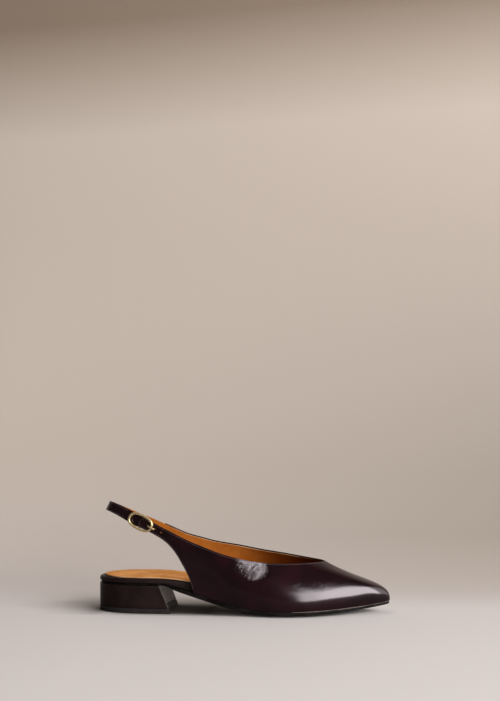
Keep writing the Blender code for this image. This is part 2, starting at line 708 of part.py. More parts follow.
def make_frame(collection, cutters):
    """The oval wire, with a staple under the tab that carries the strap and the prong."""
    half_length, half_width = BUCKLE_LENGTH / 2 - BUCKLE_WIRE, BUCKLE_WIDTH / 2 - BUCKLE_WIRE
    level, power = BUCKLE_WIRE + GAP, 2 / BUCKLE_SQUARENESS
    oval = []
    for a in np.linspace(0, 2 * math.pi, OVAL_STEPS + 1):
        along = half_length * signed_power(math.cos(a), power)
        across = half_width * signed_power(math.sin(a), power)
        oval.append((along, across, level))
    oval = spaced(np.array(oval), np.arange(OVAL_STEPS) / OVAL_STEPS)
    frame = wire("buckle_frame", from_buckle(oval), BUCKLE_WIRE, collection, closed=True)
    ends = [(0, half_width, level), (0, half_width, -BAR_DEPTH)]
    staple = ends + [(0, -across, out) for _, across, out in reversed(ends)]
    combine(frame, wire("buckle_bar", from_buckle(staple), BAR_RADIUS, cutters), "UNION")


def make_prong(collection):
    """From the bar forward under the tab, up through its hole and over the frame's front end."""
    frame_end = BUCKLE_LENGTH / 2 - BUCKLE_WIRE
    crest = 2 * BUCKLE_WIRE + 2 * GAP + PRONG_RADIUS
    route = [
        (BAR_RADIUS + GAP + PRONG_RADIUS, 0, -BAR_DEPTH),
        (HOLE_REACH - 1.2 * PRONG_BEND, 0, -BAR_DEPTH + 0.1 * PRONG_BEND),
        (HOLE_REACH - 0.25 * PRONG_BEND, 0, -BAR_DEPTH + 0.7 * PRONG_BEND),
        (HOLE_REACH, 0, -WALL / 2),
        (HOLE_REACH + 0.25 * PRONG_BEND, 0, 0.5 * PRONG_BEND),
        (HOLE_REACH + 0.9 * PRONG_BEND, 0, crest - 0.35 * PRONG_BEND),
        (frame_end, 0, crest),
        (frame_end + PRONG_REACH, 0, crest - 0.4 * PRONG_BEND),
    ]
    knots = arc_lengths(route)
    smooth = natural_spline(knots, route)(np.linspace(0, knots[-1], PRONG_STEPS))
    wire("buckle_prong", from_buckle(smooth), PRONG_RADIUS, collection)


def signed_power(value, power):
    return math.copysign(abs(value) ** power, value)


# Finishes
def finish(piece, colour, roughness, metallic=0.0):
    material = bpy.data.materials.new(piece.name)
    material.use_nodes = True
    shader = material.node_tree.nodes["Principled BSDF"]
    shader.inputs["Base Color"].default_value = (*colour, 1.0)
    shader.inputs["Roughness"].default_value = roughness
    shader.inputs["Metallic"].default_value = metallic
    piece.data.materials.clear()
    piece.data.materials.append(material)


AUBERGINE = (0.024, 0.007, 0.010)
TAN = (0.46, 0.18, 0.055)
BLACK = (0.012, 0.011, 0.011)
GOLD = (0.80, 0.60, 0.30)
FINISHES = {
    "upper": (AUBERGINE, 0.28, 0.0),
    "outsole": (BLACK, 0.5, 0.0),
    "footbed": (AUBERGINE, 0.35, 0.0),
    "sock_lining": (TAN, 0.5, 0.0),
    "heel_block": (AUBERGINE, 0.35, 0.0),
    "top_lift": (BLACK, 0.6, 0.0),
    "sling_strap": (AUBERGINE, 0.35, 0.0),
    "buckle_frame": (GOLD, 0.2, 1.0),
    "buckle_prong": (GOLD, 0.2, 1.0),
}


def new_collection(name):
    group = bpy.data.collections.new(name)
    bpy.context.scene.collection.children.link(group)
    return group


def main():
    for old in list(bpy.data.objects):
        bpy.data.objects.remove(old)
    shoe, cutters = new_collection("slingback_flat"), new_collection("cutters")
    upper = make_upper(shoe)
    make_layers(shoe)
    make_heel(shoe)
    make_strap(shoe, cutters)
    make_holes(upper, cutters)
    make_frame(shoe, cutters)
    make_prong(shoe)
    root = add_object("slingback_flat_root", None, shoe)
    for piece in list(shoe.objects):
        if piece.name in FINISHES:
            finish(piece, *FINISHES[piece.name])
            piece.parent = root


main()
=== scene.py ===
"""Dresses the slingback flat: polished leather, tan lining, stitches, a gold buckle and a studio; some shade
and highlights are painted into the colours.
"""

import math
from collections import namedtuple

import bpy
import numpy as np
from bpy.props import FloatProperty, FloatVectorProperty, PointerProperty
from mathutils import Matrix, Vector


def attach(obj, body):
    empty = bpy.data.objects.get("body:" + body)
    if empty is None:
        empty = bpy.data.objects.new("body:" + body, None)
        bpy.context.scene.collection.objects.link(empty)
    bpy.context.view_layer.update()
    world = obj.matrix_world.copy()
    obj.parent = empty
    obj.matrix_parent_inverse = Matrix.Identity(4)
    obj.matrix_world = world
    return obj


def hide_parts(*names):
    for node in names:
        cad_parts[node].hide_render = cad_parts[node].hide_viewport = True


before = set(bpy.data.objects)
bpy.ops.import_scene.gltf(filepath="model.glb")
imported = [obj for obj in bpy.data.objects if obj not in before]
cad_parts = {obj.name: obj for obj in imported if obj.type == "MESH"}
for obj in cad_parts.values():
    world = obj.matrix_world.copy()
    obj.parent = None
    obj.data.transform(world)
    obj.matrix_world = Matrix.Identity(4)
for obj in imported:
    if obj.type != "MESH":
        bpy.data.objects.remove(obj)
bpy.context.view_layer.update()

bl_info = {
    "name": "Slingback flat",
    "version": (1, 0, 0),
    "blender": (4, 5, 0),
    "location": "3D View > Sidebar > Slingback",
    "description": "Models the visible pieces of a pointed slingback flat around its packed solids",
    "category": "Object",
}

MM = 0.001
WELD, TINY = 1e-6, 1e-12
GAP = 0.3  # clearance between pieces that touch, in millimetres
EASY_GAP = 1.5 * GAP  # and where one slips into the other

# Last and sole, in millimetres: stations from the heel's back, offsets to the inner side
LENGTH = 262.0
TOE_SWING, MIDDLE = 2.8, -0.3
SEAT_HEIGHT, SEAT_END, SEAT_RUNOUT = 24.6, 60.0, 15.0
BALL_START, BALL_END = 164.0, 180.0
OUTSOLE, OUTSOLE_AT_SEAT, OUTSOLE_AT_TOE = 3.2, 1.3, 2.3
CAMBER, CAMBER_START, CAMBER_END, CAMBER_INSET, TREAD_EDGE = 1.8, 130.0, 212.0, 15.0, 0.8
SHANK_HASTE = 0.7
TOE_SPRING = 5.0
FOOTBED_HEIGHT, FOOTBED_AT_BALL, FOOTBED_FALL_START, FOOTBED_HASTE = 29.0, 3.6, 45.0, 1.35
FOOTBED_LEAN, FOOTBED_FIT, FOOTBED_ROUND = 0.5, 6.0, 2.2
SOCK, SOCK_RIM, SOCK_BACK_RIM, SOCK_BACK, SOCK_INSIDE_RIM = 1.2, 2.8, 4.8, 20.0, 0.8
WALL = 1.8
CORNER = 88.6
SEAT_INSET, WELT, TOE_TUCK, TUCK_START = 1.6, 0.4, 0.9, 215.0
TOP_LIFT = 4.6
BREAST_TOP, BREAST_FOOT, BREAST_HOLLOW = 57.8, 67.8, 5.0
HEEL_TAPER = 1.2

# Strap and buckle, in millimetres
STRAP, STRAP_WIDTH, STRAP_AT_BUCKLE, STRAP_DROP, DROP_END = 1.6, 8.7, 10.0, 1.1, 5.0
STRAP_LEAN, STRAP_TAIL, STRAP_LEAD = math.radians(26.0), 9.0, 6.0
STRAP_TURN = 4  # the strap turns to the buckle's plane over the last of this many parts
TAB_END, TAB_TIP = 2.0, 0.06
HOLE_PITCH, HOLE_COUNT, HOLE_REACH = 6.9, 3, 6.9
BUCKLE_LENGTH, BUCKLE_WIDTH, BUCKLE_SQUARENESS = 24.0, 14.4, 2.6
BAR_RADIUS, PRONG_BEND, PRONG_REACH = 0.8, 2.0, 3.2
LOOP_RADIUS = BAR_RADIUS + GAP + STRAP / 2
BAR_DEPTH = WALL + GAP + STRAP / 2 + LOOP_RADIUS

# How finely the pieces are cut
RING = 150
TOE_COLUMNS, QUARTER_COLUMNS, TIP_COLUMNS, WALL_ROWS = 120, 56, 14, 50
TOE_CROWD, FAN, FAN_SPREAD = 1.6, 1.25, 10.0
STRAP_STEPS, EYE_STEPS, STRAP_ROWS = 160, 20, 16
BRANCH_STEPS, NUDGE = 900, 0.004
WRAP = 3  # points by which a closed line is carried past its ends
TIP_SPAN = 4  # the tip's finer columns take the place of this many
HEEL_STEPS, BREAST_STEPS, OVAL_TURNS, OVAL_STEPS, PRONG_STEPS = 44, 20, 720, 120, 48
HEEL_SHARES, LIFT_SHARES = np.linspace(0.1, 0.9, 9), (0.5,)  # levels between a block's rims
WIRE_SIDES, CAP_STEPS, RIM_STEPS, BEND_STEPS, COVE_STEPS = 24, 5, 5, 8, 16
HOLE_SIDES, STITCH_SIDES, STITCH_RINGS = 28, 8, 6
ANY_WAY = (0.3, 0.2, 0.93)  # a direction that no wire starts in
SMOOTH, STITCH_SMOOTH = math.radians(40.0), math.radians(80.0)
PLATE_SHARES = (0.12, 0.4, 0.7, 1.0)  # rings between a plate's rim and its middle

# Edges of the visible layers, in millimetres
PRESS, PRESS_WIDTH = 0.09, 0.35  # groove that the stitches lie in
STRAP_LEATHER, LINING_ROUND, LAYER_GAP = 0.9, 0.55, 0.03
OUTSOLE_ROUNDS, FOOTBED_ROUNDS, SOCK_ROUNDS = (0.6, 0.5), (1.0, FOOTBED_ROUND), (0.2, 0.45)
HEEL_ROUNDS, LIFT_ROUNDS, CORNER_ROUND, BAR_BEND = (0.4, 0.8), (0.6, 0.25), 0.7, 1.4
BEVEL = {"segments": 3, "limit_method": "ANGLE", "angle_limit": math.radians(50.0)}
STITCH_FLATNESS, STITCH_ROOM = 0.8, 2.5  # height to width of a stitch, and insets that a row needs
FIRST_STITCH, LAST_STITCH, STITCH_AIM = 0.5, 0.25, 0.4  # shares of the pitch
PUNCH_LENGTH = 4 * WALL
CUT_EDGE_SLOPE, BREAST_SLOPE, CORNER_SLOPE, RIM_SLOPE = 0.45, 0.35, 0.5, 0.5
RIM_START = 0.045  # the sole's painted rim highlight starts here, in metres

# Crinkles in the leather, in metres, and the spots that have them
CRINKLE_SIZE, CRINKLE_TURN, CRINKLE_DEPTH = (0.011, 0.006, 0.0018), math.radians(46.0), 0.0016
CRINKLE_WARP, WRINKLES = 0.35, ((1.0, 1.0), (2.3, 0.5))  # layers of (fineness, share)
DRAWN_IN = (0.105, 0.0, -0.072)  # slope of the drawn patch
Spot = namedtuple("Spot", "centre spread turn amount")
CRINKLED = (
    Spot((0.0085, -0.036, 0.0433), (0.0200, 0.060, 0.0130), math.radians(20.0), 1.0),
    Spot((0.0630, 0.0, 0.0275), (0.0260, 1.0, 0.0050), 0.0, 0.12),
)

# Finishes: cloudings and pores to the metre, depths in metres, dark and pale as shares of a colour
FURROW, PORE_WAVE, CLOUD_EDGES, SPOT_EDGES = 0.22, 0.3, (0.35, 0.68), (1.0, 0.55)
POLISH_CLOUDS, POLISH_PORES, PORE_SHARE, POLISH_ROUGH = 38.0, 2400.0, 0.0014, (0.17, 0.15)
POLISH_GLOSS, PATCH_GLOSS, POLISH_IOR, POLISH_TINT = 0.5, 0.45, 1.72, (1.0, 0.90, 0.94, 1.0)
RUBBER_CLOUDS, RUBBER_DARK, RUBBER_ROUGH, RUBBER_GLOSS = 120.0, 0.7, (0.55, 0.66), 0.2
SAND, SAND_DEPTH = 3500.0, 0.00006
THREAD_CLOUDS, THREAD_DARK, THREAD_ROUGH = 900.0, 0.4, (0.5, 0.38)
GOLD_CLOUDS, GOLD_DARK, GOLD_ROUGH, GOLD_METAL = 260.0, (0.88, 0.82, 0.72), (0.34, 0.24), 0.7
HAIRLINES, HAIRLINE_DEPTH = (300.0, 6000.0, 6000.0), 0.000006
TAN_DARK, LINING_TOE_SHADE = (0.80, 0.70, 0.60), (0.3, 0.20905, 0.14568)
TOE_SHADE_START, TOE_SHADE_END = -0.035, 0.075  # tan leather turns to its toe tone between these places; in the lining that tone is painted shade
# the last field, the share of the base colour taken towards the toe, is painted shade in the lining
Finish = namedtuple("Finish", "tint dark pale clouds rough gloss pores depth worn", defaults=(None,))
LEATHERS = {
    "cover_leather": Finish("cover", 0.6, 1.0, 60.0, (0.34, 0.42), 0.16, 1500.0, 0.00005),
    "breast_leather": Finish("cover", 0.6, 1.0, 60.0, (0.26, 0.34), 0.5, 1500.0, 0.00005),
    # the breast's front corners are painted pale as a highlight
    "worn_corner": Finish("corner", 0.6, 1.0, 60.0, (0.30, 0.38), 0.5, 1500.0, 0.00005),
    # the lining darkens towards the toe as painted shade, where the vamp shades it
    "lining_leather": Finish("lining", TAN_DARK, 1.0, 55.0, (0.6, 0.7), 0.0, 1700.0, 0.00004, LINING_TOE_SHADE),
    "lining_edge": Finish("cut_edge", TAN_DARK, 1.0, 55.0, (0.7, 0.8), 0.0, 2500.0, 0.00004, 1.0),
    "sock_tan": Finish("sock", TAN_DARK, 1.0, 55.0, (0.45, 0.55), 0.0, 1500.0, 0.00005, 1.0),
    "sock_cut_edge": Finish("cut_edge", TAN_DARK, 1.0, 55.0, (0.7, 0.8), 0.0, 2500.0, 0.00004, 1.0),
    "sole_stain": Finish("sole", 1.0, (3.089, 3.376, 3.45), 90.0, (0.40, 0.52), 0.05, 1100.0, 0.00004),
    # painted highlight along the outsole's upper edge
    "sole_rim": Finish("sole_rim", 1.0, (2.225, 2.23, 2.233), 90.0, (0.40, 0.52), 0.05, 1100.0, 0.00004),
}
MIX_SHARE, MIX_FIRST, MIX_SECOND, MIX_RESULT = 0, 6, 7, 2  # sockets of a mix of colours

# Camera and sweep, in metres and radians
CAMERA_PLACE, CAMERA_LENS, CAMERA_SENSOR, CAMERA_NEAR = (0.09587, -1.09581, 0.1918), 62.19, 36.0, 0.01
CAMERA_TURN = (-0.082103, 0.0386)
WALL_PLACE, COVE, FLOOR_REACH, FLOOR_FRONT = 0.55, 0.42, 3.0, 0.36

# Tones of the paper, most of them painted shade: shares of its colours, and the places in metres between
# which they change
# painted shade: the floor darkens towards the toe's end; floor and wall colours are the paper's own
FLOOR_SHADE, FLOOR_ALONG, SWEEP_BEHIND = 0.86, (-0.1, 0.25), (0.05, 0.42)
# painted shade over the top of the wall, slanting across it
PAINTED_TOP_SHADE, PAINTED_TOP_SHADE_SLANT, PAINTED_TOP_SHADE_HEIGHT = (0.43, 0.38, 0.32), -0.06, (0.57, 0.73)
# painted shade on the lower right of the wall
SIDE_SHADE, SIDE_ALONG, SIDE_HEIGHT, SIDE_BEHIND = 0.60, (-0.35, 0.27), (0.75, 0.1), (0.02, 0.30)
# painted contact shadow: a dark tone where ambient occlusion finds the shoe close by
PAINTED_SHADOW_TONE, NEAR_REACH, NEAR_SAMPLES, NEAR_EDGES = (0.06, 0.05, 0.04), 0.06, 8, (0.3, 0.8)
HEEL_BACK, HEEL_LEE = (-0.12, -0.132), -0.2  # more of the painted contact shadow behind the heel
AHEAD_ALONG, AHEAD_BEHIND = (-0.03, 0.0), (-0.02, -0.035)  # and no painted shadow under the toe or on the near side
# painted reflection: the paper turns darker to glossy rays, fully on the floor in front and partly up the
# wall
MIRROR_SHADE, MIRROR_BEHIND, MIRROR_HEIGHT, MIRROR_WALL = 0.12, (0.14, -0.02), (0.05, 0.2), 0.4
TOOTH, TOOTH_DEPTH, PAPER_ROUGH, PAPER_GLOSS = 700.0, 0.00003, 0.8, 0.2

# Lights, in metres and watts
ROOM_COLOUR, ROOM_STRENGTH = (1.0, 0.93, 0.86, 1.0), 0.05
Panel = namedtuple("Panel", "name place aim wide tall power mirrored")
PANELS = (
    Panel("window_right", (1.32, -1.06, 0.68), (0.0, -1.06, 0.68), 1.40, 1.24, 43.0, True),
    Panel("window_far", (1.32, 0.06, 0.68), (0.0, 0.06, 0.68), 0.84, 1.24, 5.0, True),
    Panel("window_left", (1.32, -2.60, 0.93), (0.0, -2.60, 0.93), 1.68, 1.74, 52.0, True),
    Panel("ceiling", (-0.25, 0.1, 1.7), (-0.25, 0.101, 0.0), 1.6, 1.2, 6.0, False),
    Panel("lamp", (1.25, -0.30, 0.55), (0.0, 0.0, 0.03), 0.3, 0.3, 5.0, False),
)

Edge = namedtuple("Edge", "station outer inner")
SOLE_EDGE = (
    Edge(3.5, 11.6, 11.6),
    Edge(14.0, 21.0, 20.8),
    Edge(30.0, 26.4, 26.2),
    Edge(50.0, 27.4, 27.0),
    Edge(75.0, 27.4, 24.8),
    Edge(100.0, 29.0, 22.8),
    Edge(125.0, 33.2, 25.8),
    Edge(150.0, 36.8, 32.6),
    Edge(170.0, 37.4, 36.8),
    Edge(188.0, 34.6, 36.4),
    Edge(206.0, 28.2, 32.2),
    Edge(224.0, 20.2, 25.0),
    Edge(242.0, 11.6, 16.8),
    Edge(256.0, 4.4, 9.6),
)

Wall = namedtuple("Wall", "station outer_flare inner_flare rise shoulder reach")
WALL_SECTIONS = (
    Wall(LENGTH, 7.0, 7.0, 0.245, 29.5, 0.604),
    Wall(252.0, 17.9, 17.0, 0.309, 29.3, 0.574),
    Wall(235.0, 24.8, 26.0, 0.299, 27.0, 0.507),
    Wall(210.0, 26.8, 28.0, 0.317, 37.3, 0.414),
    Wall(180.0, 25.0, 24.0, 0.285, 50.8, 0.339),
    Wall(150.0, 21.9, 20.0, 0.335, 62.6, 0.320),
    Wall(120.0, 13.8, 24.0, 0.309, 77.9, 0.322),
    Wall(CORNER, 4.0, 20.0, 0.340, 86.0, 0.330),
)

Point = namedtuple("Point", "station offset height")
TOPLINE = (
    Point(111.0, -31.0, 53.4),
    Point(126.0, -31.0, 49.2),
    Point(145.0, -29.5, 45.6),
    Point(163.0, -26.0, 43.9),
    Point(182.0, -18.6, 43.4),
    Point(195.0, -10.8, 43.3),
    Point(204.0, 0.8, 43.4),
    Point(195.0, 10.6, 44.3),
    Point(182.0, 18.2, 45.5),
    Point(163.0, 25.0, 47.8),
    Point(145.0, 28.6, 50.1),
    Point(122.0, 30.2, 54.0),
)

Quarter = namedtuple("Quarter", "edge_station edge_offset edge_height top_station top_offset top_height")
EDGE_FIELDS, TOP_FIELDS = Quarter._fields[:3], Quarter._fields[3:]
OUTER_QUARTER = (
    Quarter(CORNER, -27.9, 18.2, 97.3, -30.4, 58.4),
    Quarter(85.7, -28.5, 28.6, 91.3, -30.0, 60.6),
    Quarter(80.4, -28.8, 39.4, 83.3, -29.3, 63.9),
    Quarter(73.1, -28.4, 51.6, 74.3, -28.4, 68.0),
    Quarter(64.0, -27.2, 61.4, 65.5, -27.2, 72.2),
    Quarter(51.7, -25.6, 68.9, 55.4, -25.6, 77.0),
    Quarter(37.04, -23.2, 75.15, 41.26, -23.2, 84.15),
)
INNER_QUARTER = (
    Quarter(CORNER, 23.7, 18.2, 98.3, 29.7, 58.0),
    Quarter(86.9, 25.8, 29.0, 92.3, 29.4, 59.6),
    Quarter(81.5, 27.4, 40.0, 84.3, 28.9, 61.7),
    Quarter(74.1, 27.8, 50.0, 75.3, 28.2, 64.4),
    Quarter(64.8, 27.0, 59.2, 66.3, 27.1, 68.4),
    Quarter(51.5, 25.2, 64.5, 55.7, 25.2, 73.3),
)
SLING = (
    Point(65.9, 24.1, 62.6),
    Point(53.7, 22.4, 68.8),
    Point(41.3, 20.8, 74.4),
    Point(28.3, 17.6, 80.0),
    Point(15.3, 11.2, 86.4),
    Point(7.3, 0.0, 91.2),
    Point(13.9, -10.8, 90.4),
    Point(25.3, -17.4, 86.2),
)


# Sizes and colours that a user would change
def length(label, description, millimetres):
    return FloatProperty(
        name=label, description=description, default=millimetres * MM, unit="LENGTH", precision=5
    )


def colour(label, description, value):
    return FloatVectorProperty(
        name=label, description=description, default=value, subtype="COLOR", size=3, min=0.0, max=1.0
    )


class SlingbackSizes(bpy.types.PropertyGroup):
    leather: length("Leather", "Thickness of the upper's leather, whose edges are folded round", 1.1)
    lining_drop: length("Lining drop", "The lining ends this far inside the leather's edge", 1.1)
    stitch_inset: length("Stitch inset", "Distance from the edge to the line of stitches", 1.35)
    stitch: length("Stitch", "Length of one stitch", 1.5)
    stitch_gap: length("Stitch gap", "Leather between two stitches", 0.6)
    thread: length("Thread", "Radius of the thread", 0.2)
    hole: length("Hole", "Radius of the holes in the tab", 1.05)
    lining_hole: length("Lining hole", "Radius of the holes in the tab's lining, drawn together", 0.4)
    buckle_wire: length("Buckle wire", "Radius of the buckle's wire", 1.05)
    prong: length("Prong", "Radius of the buckle's prong", 0.55)


class SlingbackColours(bpy.types.PropertyGroup):
    leather: colour("Leather", "Polished leather of upper and strap", (0.014, 0.0024, 0.0046))
    burnish: colour("Burnish", "Darker cloudings in the leather", (0.0060, 0.0013, 0.0021))
    cut_edge: colour("Cut edge", "Paler cut edges of lining and insole cover", (0.55, 0.355, 0.22))
    lining: colour("Lining", "Lining of upper and strap", (0.36, 0.115, 0.018))
    sock: colour("Sock", "Insole cover", (0.80, 0.385, 0.135))
    cover: colour("Heel cover", "Leather round the footbed and the heel", (0.0190, 0.0100, 0.0092))
    # the pale heel corner is a painted highlight
    corner: colour("Heel corner", "Heel cover worn pale on its front corners", (0.13, 0.11, 0.10))
    lift: colour("Top lift", "Rubber under the heel", (0.0280, 0.0225, 0.0225))
    sole: colour("Outsole", "Stained edge of the outsole", (0.0045, 0.0034, 0.0032))
    # the sole's pale rim line is a painted highlight
    sole_rim: colour("Sole rim", "Paler line on the outsole's upper edge", (0.16, 0.135, 0.12))
    thread: colour("Thread", "Stitching", (0.15, 0.10, 0.10))
    gold: colour("Gold", "Plating of the buckle", (0.90, 0.72, 0.42))
    floor: colour("Floor", "Pale floor", (0.72, 0.667, 0.644))
    backdrop: colour("Backdrop", "Warm wall behind the shoe", (0.61, 0.520, 0.452))


def sizes():
    return bpy.context.scene.slingback_sizes


def colours():
    return bpy.context.scene.slingback_colours


# Curves through tables
def column(table, *names):
    return np.array([[getattr(row, name) for name in names] for row in table], float)


def natural_spline(knots, values):
    """A curve of even curvature through rows of values, as a function of the knots."""
    knots, values = np.asarray(knots, float), np.asarray(values, float)
    step, last = np.diff(knots), len(knots) - 1
    slope = np.diff(values, axis=0) / step[:, None]
    system, right = np.eye(last + 1), np.zeros_like(values)
    for i in range(1, last):
        system[i, i - 1 : i + 2] = step[i - 1], 2 * (step[i - 1] + step[i]), step[i]
        right[i] = 6 * (slope[i] - slope[i - 1])
    bend = np.linalg.solve(system, right)

    def at(where):
        where = np.clip(np.atleast_1d(np.asarray(where, float)), knots[0], knots[-1])
        i = np.clip(np.searchsorted(knots, where, side="right") - 1, 0, last - 1)
        after = ((where - knots[i]) / step[i])[:, None]
        before = 1 - after
        sag = (before**3 - before) * bend[i] + (after**3 - after) * bend[i + 1]
        return before * values[i] + after * values[i + 1] + sag * step[i][:, None] ** 2 / 6

    return at


def arc_lengths(points):
    return np.concatenate([[0], np.cumsum(np.linalg.norm(np.diff(points, axis=0), axis=1))])


def rows_at(where, run, rows):
    """Rows of a table at places along its run, straight between the rows that it has."""
    return np.stack([np.interp(where, run, axis) for axis in np.asarray(rows).T], axis=1)


def spaced(points, fractions):
    """Points at fractions of the length of a finely sampled line."""
    run = arc_lengths(points)
    return rows_at(np.asarray(fractions) * run[-1], run, points)


def ease(share):
    share = np.clip(share, 0.0, 1.0)
    return share * share * (3 - 2 * share)


def eased(station, start, end):
    """Nought before a start, one after an end and a soft slope between."""
    return ease((station - start) / (end - start))


def unit(vectors):
    vectors = np.asarray(vectors, float)
    return vectors / np.maximum(np.linalg.norm(vectors, axis=-1, keepdims=True), TINY)


def end_crowded(count):
    """Shares from 0 to 1 that lie close together at both ends."""
    return (1 - np.cos(np.pi * np.arange(count + 1) / count)) / 2


# Side view and outline of the sole
def toe_spring(station):
    return TOE_SPRING * np.clip((station - BALL_END) / (LENGTH - BALL_END), 0, 1) ** 2


def outsole_top(station):
    share = np.clip((station - SEAT_END) / (BALL_START - SEAT_END), 0, 1) ** SHANK_HASTE
    return SEAT_HEIGHT + (OUTSOLE - SEAT_HEIGHT) * ease(share) + toe_spring(station)


def outsole_bottom(station):
    seat = (OUTSOLE - OUTSOLE_AT_SEAT) * (1 - eased(station, SEAT_END, SEAT_END + SEAT_RUNOUT))
    toe = (OUTSOLE - OUTSOLE_AT_TOE) * eased(station, TUCK_START, LENGTH)
    return outsole_top(station) - OUTSOLE + seat + toe


def camber(station):
    """Share of the camber, which is full under the ball."""
    return eased(station, CAMBER_START, BALL_START) * (1 - eased(station, BALL_END, CAMBER_END))


def tread_bottom(station):
    return outsole_bottom(station) - CAMBER * camber(station)


def footbed_top(station):
    share = np.clip((station - FOOTBED_FALL_START) / (BALL_START - FOOTBED_FALL_START), 0, 1)
    ball = OUTSOLE + FOOTBED_AT_BALL
    return FOOTBED_HEIGHT + (ball - FOOTBED_HEIGHT) * ease(share**FOOTBED_HASTE) + toe_spring(station)


def sole_branch(side):
    """A fine line of (station, offset) along one side, from the heel's back to the toe."""
    half = column(SOLE_EDGE, "station", "outer")
    other = column(SOLE_EDGE, "station", "inner")
    half[:, 1] *= -1
    loop = np.concatenate([[[0.0, 0.0]], half, [[LENGTH, TOE_SWING]], other[::-1]])
    wrapped = np.concatenate([loop[-WRAP:], loop, loop[: WRAP + 1]])
    knots = arc_lengths(wrapped)
    first, middle = WRAP, WRAP + len(half) + 1
    ends = (first, middle) if side < 0 else (first + len(loop), middle)
    return natural_spline(knots, wrapped)(np.linspace(knots[ends[0]], knots[ends[1]], BRANCH_STEPS))


def side_line(side, stations):
    branch = sole_branch(side)
    return np.column_stack([stations, np.interp(stations, branch[:, 0], branch[:, 1])])


def plan_normals(along):
    along = np.asarray(along)
    return unit(np.column_stack([along[:, 1], -along[:, 0]]))


def sole_ring(margin):
    """Points round the sole: heel's back, outer side, toe, inner side. margin(station, side) widens it."""
    stations = LENGTH * end_crowded(RING)
    ring = np.concatenate([side_line(-1, stations), side_line(1, stations)[-2:0:-1]])
    normal = plan_normals(np.roll(ring, -1, axis=0) - np.roll(ring, 1, axis=0))
    sides = np.where(np.arange(2 * RING) <= RING, -1, 1)
    return ring + normal * np.array([margin(s, side) for s, side in zip(ring[:, 0], sides)])[:, None]


def sole_margin(station, side):
    ledge = (SEAT_INSET + WELT) * eased(station, SEAT_END, CORNER)
    return ledge - SEAT_INSET - TOE_TUCK * eased(station, TUCK_START, LENGTH)


def tread_margin(station, side):
    return sole_margin(station, side) - TREAD_EDGE - CAMBER_INSET * camber(station)


def footbed_margin(station, side):
    return -(WALL + EASY_GAP) * eased(station, SEAT_END, CORNER - FOOTBED_FIT)


def footbed_rim(station, side):
    flare = column(WALL_SECTIONS, "outer_flare" if side < 0 else "inner_flare")[::-1, 0]
    lean = math.tan(math.radians(np.interp(station, column(WALL_SECTIONS, "station")[::-1, 0], flare)))
    side_height = footbed_top(station) - outsole_top(station) - FOOTBED_ROUND
    inside = eased(station, SEAT_END, CORNER)
    return footbed_margin(station, side) + FOOTBED_LEAN * side_height * lean * inside


def sock_margin(station, side):
    back = (SOCK_BACK_RIM - SOCK_RIM) * (1 - eased(station, 0.0, SOCK_BACK))
    inside = (SOCK_RIM - SOCK_INSIDE_RIM) * eased(station, SEAT_END, CORNER)
    return footbed_rim(station, side) - SOCK_RIM - back + inside


# Outer face of the upper
def topline_curve():
    """Topline spline, the knots of each quarter's rows and the knot of the throat."""
    outer = column(OUTER_QUARTER, *TOP_FIELDS)[::-1]
    inner = column(INNER_QUARTER, *TOP_FIELDS)
    points = np.concatenate([outer, column(TOPLINE, *Point._fields), inner])
    knots = arc_lengths(points)
    throat = knots[int(np.argmax(points[:, 0]))]
    return natural_spline(knots, points), knots[: len(outer)][::-1], knots[-len(inner) :], throat


def wall_column(bottom, top, outward, flare, rise, shoulder, reach, fullness):
    """One column from the sole to the topline. Fullness 0 makes it straight."""
    up = np.array([0.0, 0.0, 1.0])
    chord = np.linalg.norm(top - bottom)
    flare, shoulder = math.radians(flare), math.radians(shoulder)
    fan = unit((bottom - top) * [1, 1, 0] + FAN_SPREAD * outward)
    low = bottom + rise * chord * (outward * math.sin(flare) + up * math.cos(flare))
    high = top + reach * chord * (fan * math.cos(shoulder) - up * math.sin(shoulder))
    straight_low, straight_high = bottom + (top - bottom) / 3, top - (top - bottom) / 3
    low = straight_low + fullness * (low - straight_low)
    high = straight_high + fullness * (high - straight_high)
    t = end_crowded(WALL_ROWS)[:, None]
    return (1 - t) ** 3 * bottom + 3 * t * (1 - t) ** 2 * low + 3 * t * t * (1 - t) * high + t**3 * top


def front_columns(side, topline, throat, corner_knot):
    """Columns of the wall on one side, from the toe to the quarter's corner on the sole."""
    branch = sole_branch(side)[::-1]
    branch = branch[branch[:, 0] >= CORNER]
    run = arc_lengths(branch)
    flare_name = "outer_flare" if side < 0 else "inner_flare"
    section_run = np.interp(column(WALL_SECTIONS, "station")[::-1, 0], branch[::-1, 0], run[::-1])[::-1]
    section_at = natural_spline(section_run, column(WALL_SECTIONS, flare_name, "rise", "shoulder", "reach"))
    columns = []
    for share in np.linspace(0, 1, TOE_COLUMNS + 1) ** TOE_CROWD:
        station, offset = spaced(branch, [share])[0]
        ahead, behind = spaced(branch, [max(share - NUDGE, 0), min(share + NUDGE, 1)])
        normal = np.append(plan_normals([side * (behind - ahead)])[0], 0.0)
        if share == 0:
            normal = np.array([1.0, 0.0, 0.0])
        bottom = np.array([station, offset, outsole_top(station) + GAP])
        top = topline(throat + (corner_knot - throat) * share**FAN)[0]
        columns.append(wall_column(bottom, top, normal, *section_at(share * run[-1])[0], 1.0))
    return columns


